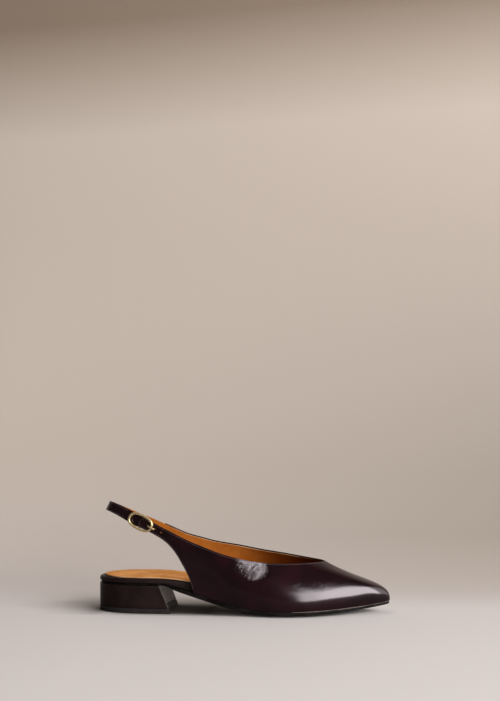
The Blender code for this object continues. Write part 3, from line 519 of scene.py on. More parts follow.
def quarter_columns(side, rows, topline, top_knots):
    """Columns behind the corner, from the back edge to the topline, up to the end of the band."""
    edge = column(rows, *EDGE_FIELDS)
    edge_knots = arc_lengths(edge)
    edge_at = natural_spline(edge_knots, edge)
    order = np.arange(len(rows))
    last = WALL_SECTIONS[-1]
    flare = last.outer_flare if side < 0 else last.inner_flare
    shares = np.linspace(0, 1, QUARTER_COLUMNS + 1)[1:]
    tip = 1 - (1 - shares[-TIP_SPAN - 1]) * (1 - np.linspace(0, 1, TIP_COLUMNS + 1)[1:]) ** 2
    shares = np.append(shares[:-TIP_SPAN], tip)
    columns = []
    for share in shares:
        bottom = edge_at(np.interp(share * order[-1], order, edge_knots))[0]
        top = topline(np.interp(share * order[-1], order, top_knots))[0]
        outward = np.array([0.0, float(side), 0.0])
        shape = (flare, last.rise, last.shoulder, last.reach, (1 - share) ** 2)
        columns.append(wall_column(bottom, top, outward, *shape))
    return rounded_end(columns) if side < 0 else columns


def rounded_end(columns):
    """Narrows the last columns of the tab to a round tip."""
    tip = columns[-1].mean(axis=0)
    radius = np.linalg.norm(columns[-1][-1] - columns[-1][0]) / 2
    rounded = []
    for line in columns:
        middle = line.mean(axis=0)
        reach = min(np.linalg.norm(middle - tip) / radius, 1.0)
        rounded.append(middle + (line - middle) * max(math.sqrt(1 - (1 - reach) ** 2), TAB_TIP))
    return rounded


Sheet = namedtuple("Sheet", "points normals edge quarter")


def grid_normals(points):
    return unit(np.cross(np.gradient(points, axis=0), np.gradient(points, axis=1)))


def upper_face():
    """The upper's outer face: points and normals by column and row, and distances to the cut edges."""
    topline, outer_knots, inner_knots, throat = topline_curve()
    outer = front_columns(-1, topline, throat, outer_knots[0])
    inner = front_columns(1, topline, throat, inner_knots[0])
    outer_quarter = quarter_columns(-1, OUTER_QUARTER, topline, outer_knots)
    inner_quarter = quarter_columns(1, INNER_QUARTER, topline, inner_knots)
    points = np.array((outer + outer_quarter)[::-1] + inner[1:] + inner_quarter)
    normals = grid_normals(points)
    normals *= -np.sign(normals[len(outer_quarter) + TOE_COLUMNS // 2, WALL_ROWS // 2, 1])
    count = np.arange(len(points))
    quarter = (count < len(outer_quarter)) | (count >= len(points) - len(inner_quarter))
    up = np.array([arc_lengths(line) for line in points])
    along = np.array([arc_lengths(points[:, r]) for r in range(WALL_ROWS + 1)]).T
    corners = [points[len(outer_quarter), 0], points[-len(inner_quarter) - 1, 0]]
    to_corner = np.min([np.linalg.norm(points - corner, axis=2) for corner in corners], axis=0)
    low = np.where(quarter[:, None], up, to_corner)
    edge = np.minimum.reduce([up[:, -1:] - up, low, along, along[-1:] - along])
    return Sheet(points, normals, edge, quarter)


def rounding(distance, radius):
    """How far a rounded edge falls back at a distance from it."""
    short = np.clip(radius - distance, 0, radius)
    return radius - np.sqrt(np.maximum(radius**2 - short**2, 0))


def inside_edges(sheet, margin):
    """The part of a sheet that lies a margin inside its cut edges, with as many rows."""
    along = arc_lengths(sheet.points.mean(axis=1))
    points, normals, edges, quarter = [], [], [], []
    for line, normal, where, behind in zip(sheet.points, sheet.normals, along, sheet.quarter):
        run = arc_lengths(line)
        low = margin if behind else 0.0
        if where < margin or along[-1] - where < margin or run[-1] < low + 2 * margin:
            continue
        at = low + (run[-1] - margin - low) * end_crowded(WALL_ROWS)
        points.append(rows_at(at, run, line))
        normals.append(unit(rows_at(at, run, normal)))
        edges.append(np.minimum(at[-1] - at, at - low if behind else np.inf))
        quarter.append(behind)
    return Sheet(np.array(points), np.array(normals), np.array(edges), np.array(quarter))


# Buckle's place
def buckle_axes():
    """Middle of the buckle on the tab's outer face, with directions along, across and out of the tab."""
    edge = column(OUTER_QUARTER, *EDGE_FIELDS)
    top = column(OUTER_QUARTER, *TOP_FIELDS)
    middle = (edge + top) / 2
    along = unit(middle[-2] - middle[-1])
    across = unit(top[-1] - edge[-1])
    across = unit(across - along * (across @ along))
    outward = np.cross(across, along)
    return middle[-1] + along * TAB_END, along, across, outward * -np.sign(outward[1])


def from_buckle(rows):
    """Points given as (along, across, out) from the middle of the buckle."""
    middle, along, across, outward = buckle_axes()
    rows = np.asarray(rows, float)
    return middle + rows[:, :1] * along + rows[:, 1:2] * across + rows[:, 2:] * outward


# Modelling steps shared by the pieces
def to_frame(points):
    """Stations and offsets in millimetres to metres, with the origin under the middle of the shoe."""
    return (np.asarray(points, float) - [LENGTH / 2, MIDDLE, -CAMBER]) * MM


def select_only(piece):
    bpy.ops.object.select_all(action="DESELECT")
    piece.select_set(True)
    bpy.context.view_layer.objects.active = piece


def add_shape(make, **settings):
    """Adds a shape with one of the mesh operators and returns it."""
    bpy.ops.object.select_all(action="DESELECT")
    make(**settings)
    return bpy.context.active_object


def place_points(piece, points, start=0):
    """Lays the vertices from an index on, in order, on points in millimetres."""
    flat = np.empty(len(piece.data.vertices) * 3)
    piece.data.vertices.foreach_get("co", flat)
    places = to_frame(np.asarray(points).reshape(-1, 3))
    flat.reshape(-1, 3)[start : start + len(places)] = places
    piece.data.vertices.foreach_set("co", flat)
    piece.data.update()


def lay_grid(name, points):
    """Adds a grid with as many points as are given, by row and column, and lays it on them."""
    rows, columns = points.shape[:2]
    parts = {"x_subdivisions": columns - 1, "y_subdivisions": rows - 1}
    piece = add_shape(bpy.ops.mesh.primitive_grid_add, size=1.0, **parts)
    piece.name = piece.data.name = name
    place_points(piece, points)
    return piece


def weld(piece):
    """Merges points that meet and turns the faces outward."""
    select_only(piece)
    bpy.ops.object.mode_set(mode="EDIT")
    bpy.ops.mesh.select_all(action="SELECT")
    bpy.ops.mesh.remove_doubles(threshold=WELD)
    bpy.ops.mesh.dissolve_degenerate(threshold=WELD)
    bpy.ops.mesh.normals_make_consistent(inside=False)
    bpy.ops.object.mode_set(mode="OBJECT")


def apply_modifier(piece, kind, **settings):
    select_only(piece)
    modifier = piece.modifiers.new(kind.lower(), kind)
    for name, value in settings.items():
        setattr(modifier, name, value)
    bpy.ops.object.modifier_apply(modifier=modifier.name)


def lay_shell(name, outer, inner):
    """A closed shell between two faces that are given as grids of points."""
    piece = lay_grid(name, outer)
    apply_modifier(piece, "SOLIDIFY", thickness=MM, offset=-1.0)
    place_points(piece, inner, start=outer.shape[0] * outer.shape[1])
    weld(piece)
    return piece


def lay_rings(name, rings):
    """A closed body through rings of points, of which the first and last have shrunk to a line or point."""
    rings = np.asarray(rings, float)
    piece = lay_grid(name, np.concatenate([rings, rings[:, :1]], axis=1))
    weld(piece)
    return piece


def run_wire(name, path, radius, closed=False):
    """A round wire along points in millimetres, with round ends unless it is closed."""
    path = np.asarray(path, float)
    along = unit(np.roll(path, -1, 0) - np.roll(path, 1, 0) if closed else np.gradient(path, axis=0))
    side = unit(np.cross(along[0], ANY_WAY))
    turn = np.linspace(0, 2 * np.pi, WIRE_SIDES + 1)[:-1, None]
    sections = []
    for place, direction in zip(path, along):
        side = unit(side - direction * (side @ direction))
        sections.append((place, direction, side, np.cross(direction, side)))

    def ring(section, advance=0.0, size=radius):
        place, direction, side, other = section
        return place + advance * direction + size * (np.cos(turn) * side + np.sin(turn) * other)

    def cap(section, way):
        turns = np.linspace(0, math.pi / 2, CAP_STEPS + 1)[1:]
        return [ring(section, way * radius * math.sin(a), radius * math.cos(a)) for a in turns]

    loops = [ring(section) for section in sections]
    if closed:
        return lay_rings(name, loops + loops[:1])
    return lay_rings(name, cap(sections[0], -1)[::-1] + loops + cap(sections[-1], 1))


def dress(piece, finishes, slot, *nodes, smooth=SMOOTH):
    """Smooths a finished piece, gives it its finishes, sets it under the root and hides the packed solids
    that it stands in for.
    """
    select_only(piece)
    bpy.ops.object.shade_smooth_by_angle(angle=smooth)
    piece.data.materials.clear()
    for name in (finishes,) if isinstance(finishes, str) else finishes:
        piece.data.materials.append(finish_of(name))
    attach(piece, "root")
    if nodes:
        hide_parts(*nodes)


def paint_faces(piece, pick):
    """Gives each face the finish whose number is picked for it."""
    for side in piece.data.polygons:
        side.material_index = int(pick(side))


# Node helpers
def feed(tree, node, inputs):
    """Links sockets to a node's inputs and sets the other values on them."""
    for name, value in dict(inputs).items():
        if isinstance(value, bpy.types.NodeSocket):
            tree.links.new(value, node.inputs[name])
        else:
            node.inputs[name].default_value = value
    return node


def add_node(tree, kind, inputs=(), **settings):
    node = tree.nodes.new(kind)
    for name, value in settings.items():
        setattr(node, name, value)
    return feed(tree, node, inputs)


def math_node(tree, operation, first, second=0.0, third=0.0):
    node = add_node(tree, "ShaderNodeMath", {0: first, 1: second, 2: third}, operation=operation)
    return node.outputs[0]


def vector_node(tree, operation, first, second=(0.0, 0.0, 0.0)):
    return add_node(tree, "ShaderNodeVectorMath", {0: first, 1: second}, operation=operation)


def noise_node(tree, vector, scale, detail, **inputs):
    inputs = {"Vector": vector, "Scale": scale, "Detail": detail, **inputs}
    return add_node(tree, "ShaderNodeTexNoise", inputs).outputs["Fac"]


def ramp(tree, value, start, end, slope="LINEAR"):
    """Nought before a start, one after an end and a slope between."""
    inputs = {"Value": value, "From Min": start, "From Max": end}
    return add_node(tree, "ShaderNodeMapRange", inputs, interpolation_type=slope).outputs["Result"]


def mix_colours(tree, share, first, second):
    tones = [tone if isinstance(tone, bpy.types.NodeSocket) else (*tone, 1.0) for tone in (first, second)]
    inputs = {MIX_SHARE: share, MIX_FIRST: tones[0], MIX_SECOND: tones[1]}
    return add_node(tree, "ShaderNodeMix", inputs, data_type="RGBA").outputs[MIX_RESULT]


def shaded(base, share):
    """A colour made darker or paler by a share, or by a share for each of red, green and blue."""
    shares = share if isinstance(share, tuple) else (share,) * 3
    return tuple(part * tone for part, tone in zip(shares, base))


# Effects that finishes share
def node_group(name, inputs, outputs):
    """An empty shader group, with the sockets that it is given and those that it puts out."""
    group = bpy.data.node_groups.new(name, "ShaderNodeTree")
    for way, sockets in (("INPUT", inputs), ("OUTPUT", outputs)):
        for label, kind in sockets.items():
            group.interface.new_socket(name=label, in_out=way, socket_type="NodeSocket" + kind)
    return group, group.nodes.new("NodeGroupInput").outputs, group.nodes.new("NodeGroupOutput").inputs


def leather_pores():
    """Pores of smooth leather: small cells between fine furrows, and a softer unevenness."""
    sockets = {"Vector": "Vector", "Scale": "Float"}
    group, given, out = node_group("leather_pores", sockets, {"Height": "Float"})
    inputs = {"Vector": given["Vector"], "Scale": given["Scale"]}
    cells = add_node(group, "ShaderNodeTexVoronoi", inputs, feature="DISTANCE_TO_EDGE").outputs["Distance"]
    furrow = ramp(group, cells, 0.0, FURROW, "SMOOTHSTEP")
    coarse = math_node(group, "MULTIPLY", given["Scale"], PORE_WAVE)
    wave = noise_node(group, given["Vector"], coarse, detail=3.0)
    group.links.new(math_node(group, "ADD", furrow, wave), out["Height"])
    return group


def leather_crinkle():
    """Fine wrinkles that run one way, as where leather is drawn over a last."""
    sockets = {"Vector": "Vector", "Warp": "Float"}
    group, given, out = node_group("leather_crinkle", sockets, {"Height": "Float"})
    height = 0.0
    for scale, amount in WRINKLES:
        noise = noise_node(group, given["Vector"], scale, detail=2.0, Distortion=given["Warp"])
        fold = math_node(group, "ABSOLUTE", math_node(group, "SUBTRACT", noise, 0.5))
        height = math_node(group, "MULTIPLY_ADD", fold, amount, height)
    group.links.new(height, out["Height"])
    return group


def polish_clouds():
    """Cloudings of two tones, as hand polish leaves them."""
    sockets = {"Vector": "Vector", "Scale": "Float", "First": "Color", "Second": "Color"}
    group, given, out = node_group("polish_clouds", sockets, {"Color": "Color", "Share": "Float"})
    noise = noise_node(group, given["Vector"], given["Scale"], detail=4.0, Roughness=0.6)
    share = ramp(group, noise, *CLOUD_EDGES, "SMOOTHSTEP")
    group.links.new(share, out["Share"])
    group.links.new(mix_colours(group, share, given["First"], given["Second"]), out["Color"])
    return group


def soft_spot():
    """A soft oval spot: one at its centre and nought outside."""
    sockets = {label: "Vector" for label in ("Vector", "Centre", "Spread", "Turn")}
    group, given, out = node_group("soft_spot", sockets, {"Share": "Float"})
    inputs = {"Location": given["Centre"], "Rotation": given["Turn"], "Scale": given["Spread"]}
    inputs["Vector"] = given["Vector"]
    local = add_node(group, "ShaderNodeMapping", inputs, vector_type="TEXTURE").outputs["Vector"]
    away = vector_node(group, "LENGTH", local).outputs["Value"]
    group.links.new(ramp(group, away, *SPOT_EDGES, "SMOOTHSTEP"), out["Share"])
    return group


def use_group(tree, make, **inputs):
    """A node of a shared group, which is made when it is first used."""
    group = bpy.data.node_groups.get(make.__name__) or make()
    return add_node(tree, "ShaderNodeGroup", inputs, node_tree=group)


# Finishes
Work = namedtuple("Work", "material tree shader place")


def new_work(name):
    """A new material with its tree, its shader and the piece's own coordinates."""
    material = bpy.data.materials.new(name)
    material.use_nodes = True
    tree = material.node_tree
    place = add_node(tree, "ShaderNodeTexCoord").outputs["Object"]
    return Work(material, tree, tree.nodes["Principled BSDF"], place)


def clouded(name, scale, first, second):
    """A new material with cloudings of two colours, and the outputs of the node that makes them."""
    work = new_work(name)
    tones = {"First": (*first, 1.0), "Second": (*second, 1.0)}
    clouds = use_group(work.tree, polish_clouds, Vector=work.place, Scale=scale, **tones)
    work.tree.links.new(clouds.outputs["Color"], work.shader.inputs["Base Color"])
    return work, clouds.outputs


def bump(work, height, depth):
    node = add_node(work.tree, "ShaderNodeBump", {"Height": height, "Distance": depth})
    work.tree.links.new(node.outputs["Normal"], work.shader.inputs["Normal"])


def rough_between(work, share, low, high):
    node = add_node(work.tree, "ShaderNodeMapRange", {"Value": share, "To Min": low, "To Max": high})
    work.tree.links.new(node.outputs["Result"], work.shader.inputs["Roughness"])


def polished_leather(name):
    """Dark polished leather, crinkled below the topline and above the toe, a mirror elsewhere."""
    tint = colours()
    work, _ = clouded(name, POLISH_CLOUDS, tint.burnish, tint.leather)
    tree, place = work.tree, work.place
    inputs = {"Vector": place, "Rotation": (0.0, -CRINKLE_TURN, 0.0), "Scale": CRINKLE_SIZE}
    drawn = add_node(tree, "ShaderNodeMapping", inputs, vector_type="TEXTURE").outputs["Vector"]
    crinkle = use_group(tree, leather_crinkle, Vector=drawn, Warp=CRINKLE_WARP).outputs["Height"]
    pores = use_group(tree, leather_pores, Vector=place, Scale=POLISH_PORES).outputs["Height"]
    worked, spots = 0.0, []
    for spot in CRINKLED:
        inputs = {"Centre": spot.centre, "Spread": spot.spread, "Turn": (0.0, spot.turn, 0.0)}
        spots.append(use_group(tree, soft_spot, Vector=place, **inputs).outputs["Share"])
        worked = math_node(tree, "MULTIPLY_ADD", spots[-1], spot.amount, worked)
    rough_between(work, worked, *POLISH_ROUGH)
    wrinkles = math_node(tree, "MULTIPLY", crinkle, worked)
    from_patch = vector_node(tree, "SUBTRACT", place, CRINKLED[0].centre).outputs["Vector"]
    slope = tuple(-share / CRINKLE_DEPTH for share in DRAWN_IN)
    drop = vector_node(tree, "DOT_PRODUCT", from_patch, slope).outputs["Value"]
    dent = math_node(tree, "MULTIPLY", drop, spots[0])
    fine = math_node(tree, "MULTIPLY_ADD", pores, PORE_SHARE, dent)
    bump(work, math_node(tree, "ADD", wrinkles, fine), CRINKLE_DEPTH)
    gloss = math_node(tree, "MULTIPLY_ADD", spots[0], PATCH_GLOSS, POLISH_GLOSS)
    feed(tree, work.shader, {"Specular IOR Level": gloss, "IOR": POLISH_IOR, "Specular Tint": POLISH_TINT})
    return work.material


def smooth_leather(name):
    """Leather with cloudings and pores, some of it turned to a plain tone towards the toe: the lining's
    darker toe is painted shade.
    """
    finish = LEATHERS[name]
    base = getattr(colours(), finish.tint)
    work, clouds = clouded(name, finish.clouds, shaded(base, finish.dark), shaded(base, finish.pale))
    # painted shade: the lining darkens towards the toe; the other tan leathers only turn plain there
    if finish.worn:
        along = add_node(work.tree, "ShaderNodeSeparateXYZ", {0: work.place}).outputs["X"]
        share = ramp(work.tree, along, TOE_SHADE_START, TOE_SHADE_END, "SMOOTHSTEP")
        tone = mix_colours(work.tree, share, clouds["Color"], shaded(base, finish.worn))
        work.tree.links.new(tone, work.shader.inputs["Base Color"])
    rough_between(work, clouds["Share"], *finish.rough)
    pores = use_group(work.tree, leather_pores, Vector=work.place, Scale=finish.pores)
    bump(work, pores.outputs["Height"], finish.depth)
    feed(work.tree, work.shader, {"Specular IOR Level": finish.gloss})
    return work.material


def lift_rubber(name):
    """Matt rubber with a fine sandy face."""
    base = colours().lift
    work, clouds = clouded(name, RUBBER_CLOUDS, shaded(base, RUBBER_DARK), base)
    rough_between(work, clouds["Share"], *RUBBER_ROUGH)
    bump(work, noise_node(work.tree, work.place, SAND, detail=2.0), SAND_DEPTH)
    feed(work.tree, work.shader, {"Specular IOR Level": RUBBER_GLOSS})
    return work.material


def waxed_thread(name):
    """Twisted thread with a little wax."""
    base = colours().thread
    work, clouds = clouded(name, THREAD_CLOUDS, shaded(base, THREAD_DARK), base)
    rough_between(work, clouds["Share"], *THREAD_ROUGH)
    return work.material


def gold_plating(name):
    """Pale gold plating with faint hairlines and softer patches."""
    base = colours().gold
    work, clouds = clouded(name, GOLD_CLOUDS, shaded(base, GOLD_DARK), base)
    rough_between(work, clouds["Share"], *GOLD_ROUGH)
    inputs = {"Vector": work.place, "Scale": HAIRLINES}
    drawn = add_node(work.tree, "ShaderNodeMapping", inputs).outputs["Vector"]
    bump(work, noise_node(work.tree, drawn, 1.0, detail=1.0), HAIRLINE_DEPTH)
    feed(work.tree, work.shader, {"Metallic": GOLD_METAL})
    return work.material


def finish_of(name):
    """The finish of that name, made once. Those without a function of their own are smooth leathers."""
    makers = (polished_leather, lift_rubber, waxed_thread, gold_plating)
    make = {each.__name__: each for each in makers}.get(name, smooth_leather)
    return bpy.data.materials.get(name) or make(name)


# Holes and stitches
def punch(pieces, cutter):
    """Cuts the same tool out of each piece and removes the tool."""
    for piece in pieces:
        apply_modifier(piece, "BOOLEAN", operation="DIFFERENCE", object=cutter, solver="EXACT")
    bpy.data.objects.remove(cutter)


def buckle_matrix(centre):
    """Placement by the buckle's axes: X along, Y across, Z out of the tab."""
    _, along, _, outward = buckle_axes()
    turn = np.column_stack([along, np.cross(outward, along), outward])
    place = to_frame(from_buckle([centre]))[0]
    return Matrix([[*turn[i], place[i]] for i in range(3)] + [[0, 0, 0, 1]])


def hole_punch(radius):
    """Round punches for the tab's holes, joined to one tool."""
    made = []
    size = {"vertices": HOLE_SIDES, "radius": radius, "depth": PUNCH_LENGTH * MM}
    for k in range(HOLE_COUNT):
        made.append(add_shape(bpy.ops.mesh.primitive_cylinder_add, **size))
        made[-1].matrix_world = buckle_matrix((HOLE_REACH + k * HOLE_PITCH, 0.0, -WALL / 2))
    for each in made:
        each.select_set(True)
    bpy.ops.object.join()
    return bpy.context.active_object


def stitch_shape():
    """One stitch: a short rounded bead, longer than it is wide."""
    parts = {"segments": STITCH_SIDES, "ring_count": STITCH_RINGS}
    turn = (0.0, math.pi / 2, 0.0)
    bead = add_shape(bpy.ops.mesh.primitive_uv_sphere_add, radius=1.0, rotation=turn, **parts)
    bpy.ops.object.transform_apply(location=True, rotation=True, scale=True)
    bpy.ops.object.mode_set(mode="EDIT")
    bpy.ops.mesh.select_all(action="SELECT")
    thread = sizes().thread
    bpy.ops.transform.resize(value=(sizes().stitch / 2, thread, STITCH_FLATNESS * thread))
    bpy.ops.object.mode_set(mode="OBJECT")
    return bead


def sew(name, line, outward):
    """Copies of one stitch along a line in millimetres, joined to one piece."""
    bead = stitch_shape()
    points = np.array([v.co[:] for v in bead.data.vertices])
    faces = [tuple(f.vertices) for f in bead.data.polygons]
    mesh = bead.data
    bpy.data.objects.remove(bead)
    bpy.data.meshes.remove(mesh)
    pitch = (sizes().stitch + sizes().stitch_gap) / MM
    run = arc_lengths(line)
    middles = np.arange(FIRST_STITCH * pitch, run[-1] - LAST_STITCH * pitch, pitch)
    aim = STITCH_AIM * pitch
    directions = rows_at(middles + aim, run, line) - rows_at(middles - aim, run, line)
    made, sides = [], []
    for place, out, direction in zip(rows_at(middles, run, line), rows_at(middles, run, outward), directions):
        out = unit(out)
        along = unit(direction - out * (direction @ out))
        base = len(made) * len(points)
        made.append(to_frame(place) + points @ np.array([along, np.cross(out, along), out]))
        sides += [tuple(base + i for i in face) for face in faces]
    mesh = bpy.data.meshes.new(name)
    mesh.from_pydata([tuple(p) for p in np.concatenate(made)], [], sides)
    piece = bpy.data.objects.new(name, mesh)
    bpy.context.scene.collection.objects.link(piece)
    weld(piece)
    return piece


# Pieces
def strap_middle():
    """Line of the strap's middle: round the heel, then the eye round the buckle's bar and the tail."""
    turn = np.linspace(math.pi / 2, -math.pi / 2, EYE_STEPS + 1)
    eye = [(LOOP_RADIUS * math.cos(a), 0.0, LOOP_RADIUS * math.sin(a) - BAR_DEPTH) for a in turn]
    level = LOOP_RADIUS - BAR_DEPTH
    under = level - STRAP - 2 * GAP
    lead = [(-STRAP_LEAD, 0.0, level)]
    tail = [(-STRAP_TAIL / 2, 0.0, (under - BAR_DEPTH - LOOP_RADIUS) / 2), (-STRAP_TAIL, 0.0, under)]
    run = np.concatenate([column(SLING, *Point._fields), from_buckle(lead + eye[:1])])
    knots = arc_lengths(run)
    line = natural_spline(knots, run)(np.linspace(0, knots[-1], STRAP_STEPS + 1))
    bends = np.concatenate([from_buckle(eye[-1:]), from_buckle(tail)])
    back = spaced(bends, np.linspace(0, 1, EYE_STEPS + 1))
    return np.concatenate([line, from_buckle(eye[1:]), back[1:]])


def strap_face():
    """The strap's middle face by row and column, with its outward normals and distances to the edges."""
    middle = strap_middle()
    along = np.gradient(middle, axis=0)
    lean = np.array([math.sin(STRAP_LEAN), 0.0, math.cos(STRAP_LEAN)])
    across = unit(lean - along * (along @ lean / (along**2).sum(axis=1))[:, None])
    turned = ease(STRAP_TURN * (np.arange(len(middle)) / STRAP_STEPS - 1) + 1)[:, None]
    across = unit(across * (1 - turned) + buckle_axes()[2] * turned)
    shares = end_crowded(STRAP_ROWS) - 0.5
    run = arc_lengths(middle)
    back = int(np.argmin(middle[:, 0]))
    widening = np.clip((run - run[back]) / (run[STRAP_STEPS] - run[back]), 0, 1)[:, None]
    width = STRAP_WIDTH + (STRAP_AT_BUCKLE - STRAP_WIDTH) * widening
    narrowed = ease((run - run[STRAP_STEPS] + DROP_END) / DROP_END)[:, None]
    drop = 2 * STRAP_DROP * widening**3 * (1 - narrowed)
    points = np.array([middle + across * (width * share + drop * min(share, 0.0)) for share in shares])
    outward = unit(np.cross(across, along))
    outward *= -np.sign(outward[back, 0])
    edge = np.minimum((0.5 - np.abs(shares))[:, None] * width.T, np.minimum(run, run[-1] - run))
    return Sheet(points, np.repeat(outward[None], len(shares), axis=0), edge, None)


class SLINGBACK_OT_upper(bpy.types.Operator):
    """Leather upper with folded edges, its tan lining and the stitches along its edges"""

    bl_idname = "slingback.upper"
    bl_label = "Upper"

    def execute(self, context):
        face = upper_face()
        thick = sizes().leather / MM
        seat = sizes().stitch_inset / MM
        press = PRESS * np.exp(-(((face.edge - seat) / PRESS_WIDTH) ** 2))
        round_off = rounding(face.edge, thick / 2)[..., None]
        outer = face.points - face.normals * (round_off + press[..., None])
        inner = face.points - face.normals * (thick - round_off)
        leather = lay_shell("upper_leather", outer, inner)
        within = inside_edges(face, sizes().lining_drop / MM)
        soft = rounding(within.edge, LINING_ROUND)[..., None]
        lining_out = within.points - within.normals * (thick + LAYER_GAP)
        lining = lay_shell("upper_lining", lining_out, within.points - within.normals * (WALL - soft))
        punch([leather], hole_punch(sizes().hole))
        punch([lining], hole_punch(sizes().lining_hole))
        dress(leather, "polished_leather", "upper_leather", "upper")
        dress(lining, ("lining_leather", "lining_edge"), "sock_leather")
        paint_faces(lining, lambda side: side.normal.z > RIM_SLOPE)
        line, out = self.stitch_line(face, seat)
        stitches = sew("upper_stitches", line - out * PRESS / 2, out)
        dress(stitches, "waxed_thread", "upper_leather", smooth=STITCH_SMOOTH)
        return {"FINISHED"}

    def stitch_line(self, face, seat):
        """From the outer corner up the back edge, round the tab, along the topline, down the inner edge."""
        outer, top, inner = [], [], []
        for k, (line, normal) in enumerate(zip(face.points, face.normals)):
            run = arc_lengths(line)
            if face.edge[k].max() < seat or run[-1] < STITCH_ROOM * seat:
                continue
            both = np.concatenate([line, normal], axis=1)
            low, high = rows_at([seat, run[-1] - seat], run, both)
            top.append(high)
            if face.quarter[k]:
                (outer if k < len(face.points) // 2 else inner).append(low)
        path = np.array(outer[::-1] + top + inner[::-1])
        return path[:, :3], unit(path[:, 3:])


class SLINGBACK_OT_strap(bpy.types.Operator):
    """Sling strap with its lining, its eye round the buckle's bar and its stitches"""

    bl_idname = "slingback.strap"
    bl_label = "Sling strap"

    def execute(self, context):
        face = strap_face()
        half, thick = STRAP / 2, STRAP_LEATHER
        round_off = rounding(face.edge, thick / 2)[..., None]
        outer = face.points + face.normals * (half - round_off)
        leather = lay_shell("strap_leather", outer, face.points + face.normals * (half - thick + round_off))
        soft = rounding(face.edge, LINING_ROUND)[..., None]
        lining_out = face.points + face.normals * (half - thick - LAYER_GAP)
        lining = lay_shell("strap_lining", lining_out, face.points + face.normals * (soft - half))
        punch([leather, lining], self.prong_slot())
        dress(leather, "polished_leather", "upper_leather", "sling_strap")
        dress(lining, "lining_leather", "sock_leather")
        seat = sizes().stitch_inset / MM
        across = unit(face.points[-1] - face.points[0])
        run = slice(0, STRAP_STEPS - EYE_STEPS)
        for name, row, way in (("strap_stitches_low", 0, 1.0), ("strap_stitches_high", -1, -1.0)):
            line = face.points[row] + way * seat * across + face.normals[0] * half
            stitches = sew(name, line[run], face.normals[0][run])
            dress(stitches, "waxed_thread", "upper_leather", smooth=STITCH_SMOOTH)
        return {"FINISHED"}

    def prong_slot(self):
        reach = LOOP_RADIUS + STRAP
        size = (reach + BAR_RADIUS, 2 * (sizes().prong / MM + EASY_GAP), 2 * reach)
        slot = add_shape(bpy.ops.mesh.primitive_cube_add, size=1.0)
        place = buckle_matrix(((reach - BAR_RADIUS) / 2, 0.0, -BAR_DEPTH))
        slot.matrix_world = place @ Matrix.Diagonal((*[MM * side for side in size], 1.0))
        return slot


def rim_arc(radius):
    """Insets and drops of a rounded rim, from its side round to its face."""
    turns = np.linspace(0, math.pi / 2, RIM_STEPS + 1)
    return [(radius * (1 - math.cos(a)), radius * (1 - math.sin(a))) for a in turns]


def lay_plate(name, heights, margins, rounds, tread=()):
    """A layer of the sole between two height functions, with rounded rims and perhaps a tread below."""
    (bottom, top), (low_margin, high_margin), (bottom_round, top_round) = heights, margins, rounds
    layers = list(tread)
    layers += [(inset, drop, bottom, low_margin, 1) for inset, drop in reversed(rim_arc(bottom_round))]
    layers += [(inset, drop, top, high_margin, -1) for inset, drop in rim_arc(top_round)]
    rings = []
    for inset, drop, height, margin, sign in layers:
        ring = sole_ring(lambda s, side, inset=inset, margin=margin: margin(s, side) - inset)
        rings.append(np.column_stack([ring, [height(x) + sign * drop for x in ring[:, 0]]]))

    def towards_middle(ring, height, share):
        across = np.roll(ring[::-1], 1, axis=0)
        plan = (ring + (across - ring) * share / 2)[:, :2]
        return np.column_stack([plan, [height(x) for x in plan[:, 0]]])

    low = [towards_middle(rings[0], layers[0][2], share) for share in PLATE_SHARES[::-1]]
    high = [towards_middle(rings[-1], top, share) for share in PLATE_SHARES]
    return lay_rings(name, low + rings + high)


def over(height, thickness=0.0):
    """The height function of a layer that lies on another."""
    return lambda station: height(station) + GAP + thickness


class SLINGBACK_OT_sole(bpy.types.Operator):
    """Outsole, wrapped footbed and the tan sock on it"""

    bl_idname = "slingback.sole"
    bl_label = "Sole and footbed"

    def execute(self, context):
        tread = [(OUTSOLE_ROUNDS[0], 0.0, tread_bottom, tread_margin, 1)]
        heights, margins = (outsole_bottom, outsole_top), (sole_margin, sole_margin)
        outsole = lay_plate("outsole_leather", heights, margins, OUTSOLE_ROUNDS, tread)
        dress(outsole, ("sole_stain", "sole_rim"), "outsole", "outsole")
        # the outsole's upper rim faces get a painted highlight, towards the toe only
        paint_faces(outsole, lambda side: side.normal.z > RIM_SLOPE and side.center.x > RIM_START)
        heights, margins = (over(outsole_top), footbed_top), (footbed_margin, footbed_rim)
        footbed = lay_plate("footbed_wrap", heights, margins, FOOTBED_ROUNDS)
        dress(footbed, "cover_leather", "covered_heel", "footbed")
        heights, margins = (over(footbed_top), over(footbed_top, SOCK)), (sock_margin, sock_margin)
        sock = lay_plate("sock", heights, margins, SOCK_ROUNDS)
        dress(sock, ("sock_tan", "sock_cut_edge"), "sock_leather", "sock_lining")
        paint_faces(sock, lambda side: abs(side.normal.z) < CUT_EDGE_SLOPE)
        return {"FINISHED"}


def heel_ring(taper, inset, breast):
    """Plan of the heel at one level: round the back, then the hollow breast. The taper is sideways."""
    stations = breast * (1 - np.cos(np.pi / 2 * np.arange(HEEL_STEPS + 1) / HEEL_STEPS))
    outline = np.concatenate([side_line(1, stations)[::-1], side_line(-1, stations)[1:]])
    normal = plan_normals(np.gradient(outline, axis=0))
    outline = outline - normal * (inset + taper * np.abs(normal[:, 1:]))
    share = np.linspace(0, 1, BREAST_STEPS + 1)[1:-1, None]
    hollow = np.array([[-BREAST_HOLLOW, 0.0]]) * 4 * share * (1 - share)
    return np.concatenate([outline, outline[-1] + (outline[0] - outline[-1]) * share + hollow])


